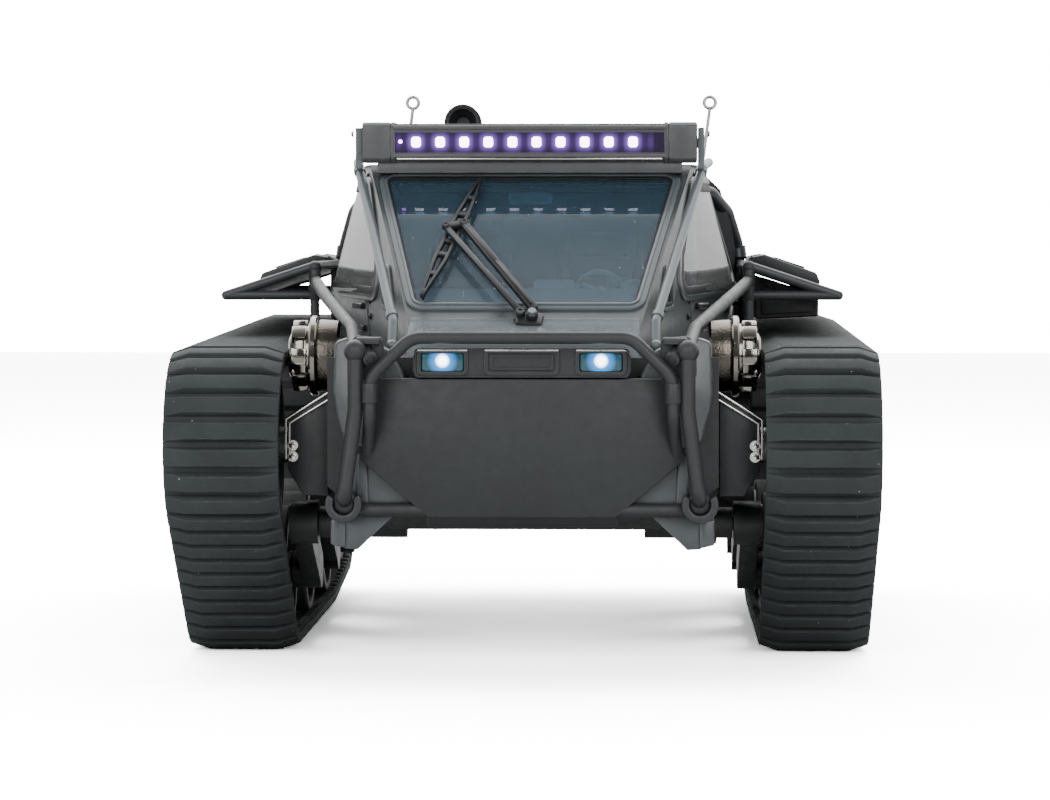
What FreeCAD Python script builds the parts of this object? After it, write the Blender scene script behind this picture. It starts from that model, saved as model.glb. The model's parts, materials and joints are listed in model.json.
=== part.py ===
import FreeCAD, Part
import math
import os
import re

import Sketcher
from FreeCAD import Placement, Rotation, Vector

# Tracked radio-control car: a wedge-nosed cabin on a low hull between two rubber tracks.
# The car faces -Y, +Z is up, and the origin is under its middle on the ground.
# The left side of the car is +X. Left pieces are drawn, right pieces are their mirror images.

doc = FreeCAD.newDocument("TrackedCar")
sheet = doc.addObject("Spreadsheet::Sheet", "Dims")

SIZES = [
    ("track_inner", 91.5, "inner edge of a belt"),
    ("track_outer", 135.0, "outer edge of a belt"),
    ("belt_thick", 3.0, "belt carrier"),
    ("lug_height", 3.0, "lug above the carrier"),
    ("lug_pitch", 9.6, "lug spacing along the belt"),
    ("lug_land", 4.2, "lug length at its top"),
    ("lug_root", 6.0, "lug length at its root"),
    ("belt_gap", 0.6, "wheel rim to belt"),
    ("idler_y", -156.0, "front idler centre"),
    ("idler_z", 85.0, "front idler centre"),
    ("idler_path", 32.0, "belt inner radius on the idler"),
    ("wheel_y", -99.0, "first road wheel"),
    ("wheel_pitch", 85.0, "road wheel spacing"),
    ("wheel_path", 26.0, "belt inner radius on a road wheel"),
    ("last_y", 152.0, "last road wheel"),
    ("last_z", 39.0, "last road wheel"),
    ("sprocket_y", 159.0, "drive sprocket centre"),
    ("sprocket_z", 97.0, "drive sprocket centre"),
    ("sprocket_path", 26.0, "belt inner radius on the sprocket"),
    ("wheel_inner", 95.0, "inner face of a wheel"),
    ("wheel_outer", 131.0, "outer face of a wheel"),
    ("axle_r", 3.0, "axle radius"),
    ("run_gap", 0.05, "running clearance on the radius"),
    ("arm_reach", 42.0, "swing arm, pivot to axle along Y"),
    ("arm_drop", 22.0, "swing arm, pivot above axle"),
    ("last_drop", 11.0, "drop of the last swing arm"),
    ("arm_inner", 83.0, "inner face of an arm"),
    ("arm_outer", 90.0, "outer face of an arm"),
    ("hub_r", 8.5, "pivot hub of an arm"),
    ("hull_half", 74.0, "hull half width"),
    ("hull_front", -178.0, "hull front face"),
    ("hull_rear", 182.0, "hull rear face"),
    ("belly_z", 52.0, "hull underside"),
    ("hull_top", 116.0, "hull rim"),
    ("wall", 3.0, "shell wall"),
    ("deck_top", 119.0, "deck upper face"),
    ("plate_front", -186.0, "armour plate front"),
    ("lamp_front", -190.0, "lamp strip front"),
    ("lamp_half", 40.8, "lamp strip half width"),
    ("lamp_low", 112.0, "lamp strip lower edge"),
    ("lamp_top", 123.0, "lamp strip upper edge"),
    ("head_x", 29.7, "headlight centre"),
    ("head_width", 17.5, "headlight width"),
    ("head_height", 8.0, "headlight height"),
    ("bar_y", -196.6, "bull bar tube axis"),
    ("bar_r", 2.4, "bull bar tube radius"),
    ("fork_r", 2.9, "side tube radius"),
    ("screen_low_y", -144.0, "windshield foot"),
    ("screen_low_z", 138.0, "windshield foot"),
    ("screen_top_y", -79.0, "windshield head"),
    ("screen_top_z", 192.5, "windshield head"),
    ("screen_low_half", 43.0, "windshield half width at its foot"),
    ("screen_top_half", 60.5, "windshield half width at its head"),
    ("glass", 2.0, "glass thickness along its cut"),
    ("waist_z", 144.0, "cabin waist line"),
    ("roof_z", 194.0, "roof"),
    ("shoulder_y", -44.0, "where the cabin sides stop flaring"),
    ("cabin_rear", 64.0, "cabin rear wall"),
    ("pillar_r", 1.9, "pillar tube radius"),
    ("light_y", -86.5, "light bar centre"),
    ("light_z", 202.4, "light bar centre"),
    ("light_half", 67.0, "light bar half length"),
    ("light_depth", 15.0, "light bar depth"),
    ("light_height", 15.2, "light bar height"),
    ("light_window", 54.0, "light bar window half length"),
    ("window_height", 8.0, "light bar window height"),
    ("pivot_r", 2.0, "light bar pivot pin"),
    ("fender_front", -64.0, "fender front"),
    ("fender_rear", 136.0, "fender rear"),
    ("fender_in", 88.6, "fender inner rail"),
    ("fender_in_z", 153.0, "fender inner rail"),
    ("fender_out", 125.0, "fender outer rail"),
    ("fender_out_z", 141.0, "fender outer rail"),
    ("rail_r", 1.9, "fender rail radius"),
    ("wiper_x", 3.0, "wiper pivot"),
    ("wiper_y", -154.0, "wiper pivot"),
    ("wiper_pin", 1.5, "wiper pivot pin radius"),
    ("bumper_rear", 200.0, "rear bumper face"),
    ("tow_r", 3.0, "tow eye hole radius"),
]

for row, (alias, number, note) in enumerate(SIZES, start=1):
    sheet.set(f"A{row}", note)
    sheet.set(f"B{row}", str(number))
    sheet.setAlias(f"B{row}", alias)
doc.recompute()

ALIASES = {alias for alias, number, note in SIZES}
NODES = []


def linked(text):
    """Expression with every sheet alias written as a reference to the sheet."""
    return re.sub(r"[a-z_]+", lambda word: f"Dims.{word[0]}" if word[0] in ALIASES else word[0], str(text))


def size(text):
    """Present value of an expression of the sheet."""
    return float(sheet.evalExpression(linked(text)))


def bind(item, prop, text):
    """Bind a property to an expression of the sheet."""
    item.setExpression(prop, linked(text))


def place(item, x="0", y="0", z="0"):
    """Bind an object's position to the sheet."""
    for letter, text in zip("xyz", (x, y, z)):
        bind(item, f"Placement.Base.{letter}", text)


def node(item, label):
    """Register an object as a sub-part under its own name."""
    item.Label = label
    NODES.append(item)
    return item


def mirrored(item, label):
    """Mirror image of a sub-part across the car's middle plane."""
    twin = doc.addObject("Part::Mirroring", label)
    twin.Source = item
    twin.Normal = Vector(1, 0, 0)
    return node(twin, label)


def both(item, name):
    """Register a left sub-part and its right twin."""
    node(item, f"{name}_L")
    mirrored(item, f"{name}_R")


# ---------------------------------------------------------------- PartDesign helpers

def sketch(body, role, offset="0"):
    """Empty sketch on one of the body's own origin planes, moved along the plane's normal."""
    plane = next(item for item in body.Origin.OriginFeatures if item.Role == role)
    drawing = body.newObject("Sketcher::SketchObject", f"{body.Name}Sketch")
    drawing.AttachmentSupport = [(plane, "")]
    drawing.MapMode = "FlatFace"
    bind(drawing, "AttachmentOffset.Base.z", offset)
    return drawing


def polygon(drawing, points):
    """Closed polygon whose corners are held by expressions."""
    spots = [Vector(size(across), size(up), 0) for across, up in points]
    first = drawing.GeometryCount
    count = len(spots)
    for index in range(count):
        drawing.addGeometry(Part.LineSegment(spots[index], spots[(index + 1) % count]), False)
    for index in range(count):
        follower = first + (index + 1) % count
        drawing.addConstraint(Sketcher.Constraint("Coincident", first + index, 2, follower, 1))
    for index, (across, up) in enumerate(points):
        hold(drawing, "DistanceX", first + index, 1, across)
        hold(drawing, "DistanceY", first + index, 1, up)


def hold(drawing, kind, geometry, vertex, text):
    """Hold one coordinate of a sketch vertex at an expression."""
    rule = Sketcher.Constraint(kind, -1, 1, geometry, vertex, size(text))
    bind(drawing, f"Constraints[{drawing.addConstraint(rule)}]", text)


def circle(drawing, across, up, radius):
    """Circle whose centre and radius are held by expressions."""
    ring = Part.Circle(Vector(size(across), size(up), 0), Vector(0, 0, 1), size(radius))
    index = drawing.addGeometry(ring, False)
    hold(drawing, "DistanceX", index, 3, across)
    hold(drawing, "DistanceY", index, 3, up)
    rule = drawing.addConstraint(Sketcher.Constraint("Radius", index, size(radius)))
    bind(drawing, f"Constraints[{rule}]", radius)


def mirror_half(points):
    """Right half of an outline given its left half, listed so that the whole is one polygon."""
    return points + [(f"-({across})", up) for across, up in reversed(points)]


def pad(body, drawing, length, middle=False):
    """Pad a sketch by an expression."""
    solid = body.newObject("PartDesign::Pad", f"{body.Name}Pad")
    solid.Profile = drawing
    solid.Midplane = middle
    bind(solid, "Length", length)
    return solid


def pocket(body, drawing, length=None, backwards=False):
    """Pocket a sketch by an expression, or right through both ways when none is given."""
    cut = body.newObject("PartDesign::Pocket", f"{body.Name}Pocket")
    cut.Profile = drawing
    cut.Reversed = backwards
    if length is None:
        cut.Type = "ThroughAll"
        cut.Midplane = True
    else:
        bind(cut, "Length", length)
    return cut


def plate_across(label, points, front, rear):
    """Body of an outline in X and Z, padded from one Y to another."""
    body = doc.addObject("PartDesign::Body", label)
    drawing = sketch(body, "XZ_Plane", f"-({rear})")
    polygon(drawing, points)
    pad(body, drawing, f"({rear}) - ({front})")
    return body


def plate_along(label, points, near, far):
    """Body of an outline in Y and Z, padded from one X to another."""
    body = doc.addObject("PartDesign::Body", label)
    drawing = sketch(body, "YZ_Plane", near)
    polygon(drawing, points)
    pad(body, drawing, f"({far}) - ({near})")
    return body


def rim(left, right, low, high):
    """Rectangle between four expressions."""
    return [(left, low), (right, low), (right, high), (left, high)]


def turned(label, outline):
    """Body turned about its own X axis; the outline is (x, radius) pairs."""
    body = doc.addObject("PartDesign::Body", label)
    drawing = sketch(body, "XY_Plane")
    polygon(drawing, outline)
    spin = body.newObject("PartDesign::Revolution", f"{label}Turn")
    spin.Profile = drawing
    spin.ReferenceAxis = (drawing, ["H_Axis"])
    spin.Angle = 360
    return body


def holes_round(body, count, distance, radius):
    """Ring of through holes about a turned body's axis."""
    drawing = sketch(body, "YZ_Plane")
    circle(drawing, distance, "0", radius)
    cut = pocket(body, drawing)
    ring = body.newObject("PartDesign::PolarPattern", f"{body.Name}Ring")
    ring.Originals = [cut]
    ring.Axis = (drawing, ["N_Axis"])
    ring.Angle = 360
    ring.Occurrences = count
    body.Tip = ring
    return ring


# ---------------------------------------------------------------- shape helpers

def feature(label, shape):
    """Object that holds a shape made from the sheet's sizes."""
    item = doc.addObject("Part::Feature", label)
    item.Shape = shape
    item.Placement = Placement()
    return item


def spot(x, y, z):
    """Point from three expressions."""
    return Vector(size(x), size(y), size(z))


def tube(points, radius, bend):
    """Round bar along straight runs joined by tangent arcs."""
    edges = []
    start = points[0]
    for before, corner, after in zip(points, points[1:], points[2:]):
        back = (before - corner).normalize()
        ahead = (after - corner).normalize()
        half = back.getAngle(ahead) / 2
        reach = bend / math.tan(half)
        enter = corner + back * reach
        leave = corner + ahead * reach
        inward = (back + ahead).normalize()
        middle = corner + inward * (bend / math.sin(half) - bend)
        edges.append(Part.LineSegment(start, enter).toShape())
        edges.append(Part.Arc(enter, middle, leave).toShape())
        start = leave
    edges.append(Part.LineSegment(start, points[-1]).toShape())
    ring = Part.Circle(points[0], points[1] - points[0], radius).toShape()
    return Part.Wire(edges).makePipeShell([Part.Wire([ring])], True, True)


def outline_at(level, half_points):
    """Closed horizontal wire, symmetric about the middle plane, at one height."""
    left = [Vector(across, along, level) for across, along in half_points]
    right = [Vector(-across, along, level) for across, along in reversed(half_points)]
    return Part.makePolygon(left + right + left[:1])


def prism(points, direction):
    """Solid swept from a planar outline along a vector."""
    return Part.Face(Part.makePolygon(points + points[:1])).extrude(direction)


# ---------------------------------------------------------------- tracks

def belt_circles():
    """Centre and inner belt radius at each wheel that the belt wraps, going round once."""
    third_y = size("wheel_y + 2 * wheel_pitch")
    low_z = size("wheel_path + belt_thick + lug_height")
    return [
        (size("idler_y"), size("idler_z"), size("idler_path")),
        (size("wheel_y"), low_z, size("wheel_path")),
        (third_y, low_z, size("wheel_path")),
        (size("last_y"), size("last_z"), size("wheel_path")),
        (size("sprocket_y"), size("sprocket_z"), size("sprocket_path")),
    ]


def belt_normals(circles):
    """Outward angle of the belt's straight run after each wheel."""
    angles = []
    for index, (y, z, radius) in enumerate(circles):
        next_y, next_z, next_radius = circles[(index + 1) % len(circles)]
        gap = math.hypot(next_y - y, next_z - z)
        along = math.atan2(next_z - z, next_y - y)
        angles.append(along - math.pi / 2 + math.asin((radius - next_radius) / gap))
    return angles


def belt_runs(offset):
    """Arcs and straight runs of the belt at a distance outside its inner face."""
    circles = belt_circles()
    normals = belt_normals(circles)
    runs = []
    for index, (y, z, radius) in enumerate(circles):
        begin = normals[index - 1]
        turn = (normals[index] - begin) % (2 * math.pi)
        reach = radius + offset
        runs.append(("arc", y, z, reach, begin, turn))
        next_y, next_z, next_radius = circles[(index + 1) % len(circles)]
        angle = normals[index]
        start = (y + reach * math.cos(angle), z + reach * math.sin(angle))
        far = next_radius + offset
        end = (next_y + far * math.cos(angle), next_z + far * math.sin(angle))
        runs.append(("line", start, end, angle))
    return runs


def run_length(run):
    """Length of one arc or straight run."""
    if run[0] == "arc":
        return run[3] * run[5]
    return math.dist(run[1], run[2])


def run_point(run, distance):
    """Point and outward angle at a distance along one run."""
    if run[0] == "arc":
        angle = run[4] + distance / run[3]
        return run[1] + run[3] * math.cos(angle), run[2] + run[3] * math.sin(angle), angle
    share = distance / run_length(run)
    y = run[1][0] + share * (run[2][0] - run[1][0])
    z = run[1][1] + share * (run[2][1] - run[1][1])
    return y, z, run[3]


def belt_point(runs, distance):
    """Point and outward angle at a distance round the whole belt."""
    left = distance % sum(run_length(run) for run in runs)
    for run in runs:
        if left <= run_length(run):
            return run_point(run, left)
        left -= run_length(run)
    return run_point(runs[-1], run_length(runs[-1]))


def belt_inner_wire():
    """Smooth inner face of the belt as one wire."""
    near = size("track_inner")
    edges = []
    for run in belt_runs(0):
        if run[0] == "line":
            ends = [Vector(near, y, z) for y, z in run[1:3]]
            edges.append(Part.LineSegment(ends[0], ends[1]).toShape())
        else:
            stops = [run_point(run, share * run_length(run)) for share in (0, 0.5, 1)]
            on_arc = [Vector(near, y, z) for y, z, angle in stops]
            edges.append(Part.Arc(on_arc[0], on_arc[1], on_arc[2]).toShape())
    return Part.Wire(edges)


def belt_outer_wire():
    """Outer face of the belt with every lug."""
    near = size("track_inner")
    runs = belt_runs(size("belt_thick"))
    length = sum(run_length(run) for run in runs)
    count = round(length / size("lug_pitch"))
    steps = [("lug_root", "0"), ("lug_land", "lug_height")]
    corners = []
    for index in range(count):
        middle = length * index / count
        sides = [(-size(wide) / 2, size(high)) for wide, high in steps]
        sides += [(size(wide) / 2, size(high)) for wide, high in reversed(steps)]
        for shift, height in sides:
            root = size("lug_root") / 2
            y, z, angle = belt_point(runs, middle + math.copysign(root, shift))
            inward = root - abs(shift)
            y += height * math.cos(angle) + math.copysign(inward, shift) * math.sin(angle)
            z += height * math.sin(angle) - math.copysign(inward, shift) * math.cos(angle)
            corners.append(Vector(near, y, z))
    return Part.makePolygon(corners + corners[:1])


def track_belt():
    """Rubber belt with cross lugs."""
    band = Part.Face(belt_outer_wire()).cut(Part.Face(belt_inner_wire())).Faces[0]
    width = Vector(size("track_outer - track_inner"), 0, 0)
    both(feature("track_belt", band.extrude(width)), "track_belt")


def road_wheel_places():
    """Y and Z expressions of the four road wheels and the drop of each arm."""
    low = "wheel_path + belt_thick + lug_height"
    places = [(f"wheel_y + {index} * wheel_pitch", low, "arm_drop") for index in range(3)]
    places.append(("last_y", "last_z", "last_drop"))
    return places


def wheel(label, rim_radius, web, hole_ring, hole, count):
    """Wheel with a dished web, a hub and lightening holes."""
    bore = "axle_r + run_gap"
    half = "(wheel_outer - wheel_inner) / 2"
    outline = [
        (f"-({half})", bore),
        (f"-({half})", "axle_r + 4"),
        (f"-({web}) / 2", "axle_r + 6"),
        (f"-({web}) / 2", f"{rim_radius} - 6"),
        (f"-({half})", f"{rim_radius} - 4"),
        (f"-({half})", f"{rim_radius} - 1"),
        (f"-({half}) + 1", rim_radius),
        (f"{half} - 1", rim_radius),
        (half, f"{rim_radius} - 1"),
        (half, f"{rim_radius} - 4"),
        (f"({web}) / 2", f"{rim_radius} - 6"),
        (f"({web}) / 2", "axle_r + 6"),
        (half, "axle_r + 4"),
        (half, bore),
    ]
    body = turned(label, outline)
    holes_round(body, count, hole_ring, hole)
    return body


def road_wheels():
    """Four wheels a side, each on its own arm."""
    for number, (y, z, drop) in enumerate(road_wheel_places(), start=1):
        body = wheel(f"road_wheel_{number}", "(wheel_path - belt_gap)", "8", "14", "3.2", 6)
        place(body, "(wheel_inner + wheel_outer) / 2", y, z)
        both_numbered(body, "road_wheel", number)


def both_numbered(item, name, number):
    """Register a numbered left sub-part and its right twin."""
    node(item, f"{name}_L_{number}")
    mirrored(item, f"{name}_R_{number}")


def idler_wheel():
    """Large front idler."""
    body = wheel("idler_wheel", "(idler_path - belt_gap)", "10", "17.5", "4.5", 6)
    place(body, "(wheel_inner + wheel_outer) / 2", "idler_y", "idler_z")
    both(body, "idler_wheel")


def drive_sprocket():
    """Rear sprocket with square-cut teeth."""
    body = wheel("drive_sprocket", "(sprocket_path - belt_gap)", "10", "13.5", "3", 5)
    drawing = sketch(body, "YZ_Plane")
    tip = "sprocket_path - belt_gap"
    polygon(drawing, rim(f"{tip} - 4", f"{tip} + 2", "-1.6", "1.6"))
    slot = pocket(body, drawing)
    ring = body.newObject("PartDesign::PolarPattern", "SprocketTeeth")
    ring.Originals = [slot]
    ring.Axis = (drawing, ["N_Axis"])
    ring.Angle = 360
    ring.Occurrences = 14
    body.Tip = ring
    place(body, "(wheel_inner + wheel_outer) / 2", "sprocket_y", "sprocket_z")
    both(body, "drive_sprocket")


def swing_arm(number, y, z, drop):
    """Trailing arm: pivot hub, web and the wheel's stub axle."""
    body = doc.addObject("PartDesign::Body", f"swing_arm_{number}")
    pivot_y = f"{y} - arm_reach"
    pivot_z = f"{z} + {drop}"
    web = sketch(body, "YZ_Plane", "arm_inner")
    slope = f"({drop} * 0.12)"
    corners = [
        (f"{pivot_y} - {slope}", f"{pivot_z} - hub_r * 0.85"),
        (y, f"{z} - 7"),
        (f"{y} + 4", f"{z} + 6"),
        (f"{pivot_y} + {slope}", f"{pivot_z} + hub_r * 0.85"),
    ]
    polygon(web, corners)
    pad(body, web, "arm_outer - arm_inner")
    for across, up, radius, near, far in (
        (pivot_y, pivot_z, "hub_r", "hull_half + 6.4", "arm_outer + 1"),
        (y, z, "7.5", "arm_inner", "wheel_inner - 0.6"),
        (y, z, "axle_r", "arm_inner", "wheel_outer + 1.5"),
    ):
        drawing = sketch(body, "YZ_Plane", near)
        circle(drawing, across, up, radius)
        pad(body, drawing, f"({far}) - ({near})")
    bore = sketch(body, "YZ_Plane")
    circle(bore, pivot_y, pivot_z, "axle_r + run_gap")
    pocket(body, bore)
    both_numbered(body, "swing_arm", number)


def swing_arms():
    """All the arms."""
    for number, (y, z, drop) in enumerate(road_wheel_places(), start=1):
        swing_arm(number, y, z, drop)


# ---------------------------------------------------------------- hull

def side_pins(body, across, up, radius, near, far):
    """The same pin on both sides of the hull."""
    length = f"({far}) - ({near})"
    for start in (near, f"-({far})"):
        drawing = sketch(body, "YZ_Plane", start)
        circle(drawing, across, up, radius)
        pad(body, drawing, length)


def hull():
    """Tub with cut lower corners, skid brackets, battery ribs and the running pins."""
    body = doc.addObject("PartDesign::Body", "hull")
    side = sketch(body, "YZ_Plane")
    polygon(side, [
        ("hull_front", "hull_top"),
        ("hull_rear", "hull_top"),
        ("hull_rear", "belly_z + 16"),
        ("hull_rear - 16", "belly_z"),
        ("hull_front + 26", "belly_z"),
        ("hull_front", "belly_z + 10"),
    ])
    pad(body, side, "2 * hull_half", middle=True)
    corners = sketch(body, "XZ_Plane")
    for sign in ("", "-"):
        polygon(corners, [
            (f"{sign}(hull_half + 1)", "belly_z - 1"),
            (f"{sign}(hull_half + 1)", "belly_z + 19"),
            (f"{sign}(hull_half - 24)", "belly_z - 1"),
        ])
    pocket(body, corners)
    bay = sketch(body, "XY_Plane", "hull_top")
    polygon(bay, rim("-(hull_half - wall)", "hull_half - wall", "hull_front + 6", "hull_rear - 6"))
    pocket(body, bay, "hull_top - belly_z - 22")
    trough = sketch(body, "XY_Plane", "belly_z + 24")
    polygon(trough, rim("-(hull_half - 26)", "hull_half - 26", "hull_front + 30", "hull_rear - 20"))
    pocket(body, trough, "20")
    for near, far in (("22", "24"), ("-24", "-22")):
        rib = sketch(body, "XY_Plane", "belly_z + 4")
        polygon(rib, rim(near, far, "-20", "110"))
        pad(body, rib, "12")
    for near, far in (("66", "74"), ("-74", "-66")):
        skid = sketch(body, "YZ_Plane", near)
        polygon(skid, [
            ("hull_front + 30", "belly_z + 22"),
            ("hull_front + 66", "belly_z + 22"),
            ("hull_front + 58", "belly_z - 6"),
            ("hull_front + 36", "belly_z - 6"),
        ])
        pad(body, skid, f"({far}) - ({near})")
    for y, z, drop in road_wheel_places():
        pivot_y = f"{y} - arm_reach"
        pivot_z = f"{z} + {drop}"
        side_pins(body, pivot_y, pivot_z, "axle_r", "hull_half - 1", "arm_outer + 0.9")
        side_pins(body, pivot_y, pivot_z, "axle_r + 3", "hull_half - 28", "hull_half + 6")
    side_pins(body, "sprocket_y", "sprocket_z", "axle_r", "hull_half - 1", "wheel_outer + 1.5")
    side_pins(body, "sprocket_y", "sprocket_z", "13", "hull_half - 1", "wheel_inner - 0.6")
    guide = sketch(body, "XZ_Plane", "-(hull_rear + 1)")
    polygon(guide, rim("-6.5", "6.5", "96", "101"))
    pocket(body, guide, "3", backwards=True)
    node(body, "hull")


def deck():
    """Lid of the front of the hull, under the cabin."""
    points = rim("hull_front", "cabin_rear - 2", "hull_top", "deck_top")
    node(plate_along("deck", points, "-hull_half", "hull_half"), "deck")


def armour_plate():
    """Faceted plate across the nose, with the lower cross tube."""
    half = [("39.5", "55"), ("60", "72"), ("60", "84"), ("52", "111.5")]
    body = plate_across("armour_body", mirror_half(half), "plate_front", "hull_front")
    bar = doc.addObject("Part::Cylinder", "armour_bar")
    bind(bar, "Radius", "2")
    bind(bar, "Height", "124")
    bar.Placement.Rotation = Rotation(Vector(0, 1, 0), 90)
    place(bar, "-62", "plate_front - 1", "60")
    joined = doc.addObject("Part::Fuse", "armour_plate")
    joined.Base = body
    joined.Tool = bar
    node(joined, "armour_plate")


def lamp_housing():
    """Strip across the nose with two lamp pockets and a centre panel."""
    half = [("lamp_half - 2", "lamp_low"), ("lamp_half", "lamp_low + 2"), ("lamp_half", "lamp_top - 3"),
            ("lamp_half - 3", "lamp_top")]
    body = plate_across("lamp_housing", mirror_half(half), "lamp_front", "plate_front + 8")
    pockets = sketch(body, "XZ_Plane", "-(lamp_front - 1)")
    for sign in ("", "-"):
        centre = f"{sign}head_x"
        polygon(pockets, rim(f"{centre} - head_width / 2", f"{centre} + head_width / 2",
                             "lamp_low + 1.6", "lamp_low + 1.6 + head_height"))
    pocket(body, pockets, "5")
    node(body, "lamp_housing")


def headlight():
    """Lens that fills a lamp pocket."""
    lens = doc.addObject("Part::Box", "headlight")
    bind(lens, "Length", "head_width")
    bind(lens, "Width", "4.6")
    bind(lens, "Height", "head_height")
    place(lens, "head_x - head_width / 2", "lamp_front - 0.6", "lamp_low + 1.6")
    both(lens, "headlight")


def bull_bar():
    """Top nose tube that turns down and back to the hull."""
    half = [spot("58.2", "plate_front", "82"), spot("56.6", "bar_y", "98"), spot("56.6", "bar_y", "112"),
            spot("41", "bar_y", "127")]
    other = [Vector(-point.x, point.y, point.z) for point in reversed(half)]
    node(feature("bull_bar", tube(half + other, size("bar_r"), 3.6)), "bull_bar")


def fork():
    """Side nose tube, its knuckle and the side bar that runs back to the fender."""
    upright = tube([spot("66.5", "hull_front", "66"), spot("66.5", "bar_y + 1", "66"),
                    spot("62", "bar_y + 1", "100"), spot("62", "bar_y + 1", "122")], size("fork_r"), 5.0)
    knuckle = Part.makeSphere(size("fork_r + 1.4"), spot("62", "bar_y + 1", "122"))
    side_bar = tube([spot("62", "bar_y + 1", "122"), spot("65", "hull_front + 8", "130"),
                     spot("80", "hull_front + 68", "141"), spot("fender_in", "fender_front", "147")],
                    size("fork_r - 0.4"), 16.0)
    collar = Part.makeCylinder(size("fork_r + 1.2"), 7, spot("66.5", "hull_front - 9", "66"), Vector(0, 1, 0))
    both(feature("fork", upright.fuse([knuckle, side_bar, collar])), "fork")


def idler_mount():
    """Joggled side plate that carries the idler axle and the chromed hub above it."""
    body = doc.addObject("PartDesign::Body", "idler_mount")
    profile = sketch(body, "XZ_Plane", "140")
    polygon(profile, [
        ("hull_half", "66"), ("hull_half", "106"), ("90.4", "95.5"), ("90.4", "76"), ("84", "66"),
    ])
    pad(body, profile, "28")
    for across, up, radius, near, far in (
        ("idler_y + 2", "117", "14", "hull_half", "79.5"),
        ("idler_y + 2", "119", "15", "79.5", "82"),
        ("idler_y + 2", "119", "13", "81", "89"),
        ("idler_y", "idler_z", "axle_r + 4", "89", "wheel_inner - 0.6"),
        ("idler_y", "idler_z", "axle_r", "89", "wheel_outer + 1.5"),
    ):
        drawing = sketch(body, "YZ_Plane", near)
        circle(drawing, across, up, radius)
        pad(body, drawing, f"({far}) - ({near})")
    both(body, "idler_mount")


def rear_bumper():
    """Rear bar on two legs with a tow eye in the middle."""
    body = doc.addObject("PartDesign::Body", "rear_bumper")
    outline = sketch(body, "XY_Plane", "66")
    polygon(outline, [
        ("-62", "190"), ("-62", "182"), ("-48", "182"), ("-48", "188"), ("48", "188"), ("48", "182"),
        ("62", "182"), ("62", "190"), ("56", "195"), ("10", "195"), ("8", "bumper_rear"),
        ("-8", "bumper_rear"), ("-10", "195"), ("-56", "195"),
    ])
    pad(body, outline, "8")
    eye = sketch(body, "XY_Plane", "66")
    circle(eye, "0", "194", "tow_r")
    pocket(body, eye)
    node(body, "rear_bumper")


# ---------------------------------------------------------------- body shell

def screen_y(level):
    """Y of the windshield plane at a height."""
    slope = size("(screen_top_y - screen_low_y) / (screen_top_z - screen_low_z)")
    return size("screen_low_y") + slope * (level - size("screen_low_z"))


def screen_half(level):
    """Half width of the cabin's front face at a height."""
    slope = size("(screen_top_half - screen_low_half) / (screen_top_z - screen_low_z)")
    return size("screen_low_half") + 4 + slope * (level - size("screen_low_z"))


def cabin_solid(inset):
    """Cabin outer form, drawn in on every side by an inset."""
    levels = [(size("deck_top"), 78, 84), (size("waist_z"), 83, 86), (size("roof_z") - inset, 70, 71)]
    wires = []
    for level, shoulder, rear in levels:
        front = screen_y(level) + 1.7 * inset
        wires.append(outline_at(level, [
            (screen_half(level) - inset, front),
            (shoulder - inset, size("shoulder_y")),
            (rear - inset, size("cabin_rear") - inset),
        ]))
    return Part.makeLoft(wires, True, True)


def screen_cutter():
    """Prism through the windshield opening."""
    low = size("screen_low_z")
    high = size("screen_top_z - 4")
    narrow = size("screen_low_half - 1")
    wide = size("screen_top_half - 2")
    start = -200.0
    points = [Vector(-narrow, start, low), Vector(narrow, start, low), Vector(wide, start, high),
              Vector(-wide, start, high)]
    return prism(points, Vector(0, -start + size("screen_top_y"), 0))


def side_cutter(points):
    """Prism through the left wall of the cabin from an outline in Y and Z."""
    return prism([Vector(40, y, z) for y, z in points], Vector(60, 0, 0))


SIDE_WINDOW = [(-107, 142), (-100, 158), (-76, 186), (44, 186), (52, 147), (-40, 144)]
QUARTER_WINDOW = [(-131, 137), (-116, 138), (-113, 152), (-119, 152)]


def mirror_shape(shape):
    """Shape reflected across the middle plane."""
    return shape.mirror(Vector(0, 0, 0), Vector(1, 0, 0))


def cabin():
    """Hollow cabin with window openings."""
    shell = cabin_solid(0).cut(cabin_solid(size("wall")))
    openings = [screen_cutter()]
    for outline in (SIDE_WINDOW, QUARTER_WINDOW):
        cutter = side_cutter(outline)
        openings += [cutter, mirror_shape(cutter)]
    node(feature("cabin", shell.cut(openings).removeSplitter()), "cabin")


def windows():
    """Windshield and side glass, each filling its opening."""
    outer = cabin_solid(0)
    ahead = outer.copy()
    ahead.translate(spot("0", "glass * 1.3", "0"))
    pane = screen_cutter().common(outer).cut(ahead)
    node(feature("windshield", pane), "windshield")
    inside = outer.copy()
    inside.translate(spot("-glass", "0", "0"))
    pane = side_cutter(SIDE_WINDOW).common(outer).cut(inside)
    both(feature("side_window", pane), "side_window")


def hood():
    """Wedge ahead of the windshield, with the wiper's pivot pin."""
    rear_z = 133.5
    body = plate_along("hood_body", [
        ("plate_front + 8", "deck_top"),
        ("plate_front + 8", "lamp_top + 3"),
        (str(screen_y(rear_z)), str(rear_z)),
        (str(screen_y(size("deck_top"))), "deck_top"),
    ], "-44", "44")
    pin = doc.addObject("Part::Cylinder", "wiper_pin")
    bind(pin, "Radius", "wiper_pin")
    bind(pin, "Height", "9")
    base = screen_frame().multVec(Vector(0, 0, 0.2))
    pin.Placement = Placement(base, screen_frame().Rotation)
    joined = doc.addObject("Part::Fuse", "hood")
    joined.Base = body
    joined.Tool = pin
    node(joined, "hood")


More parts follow.
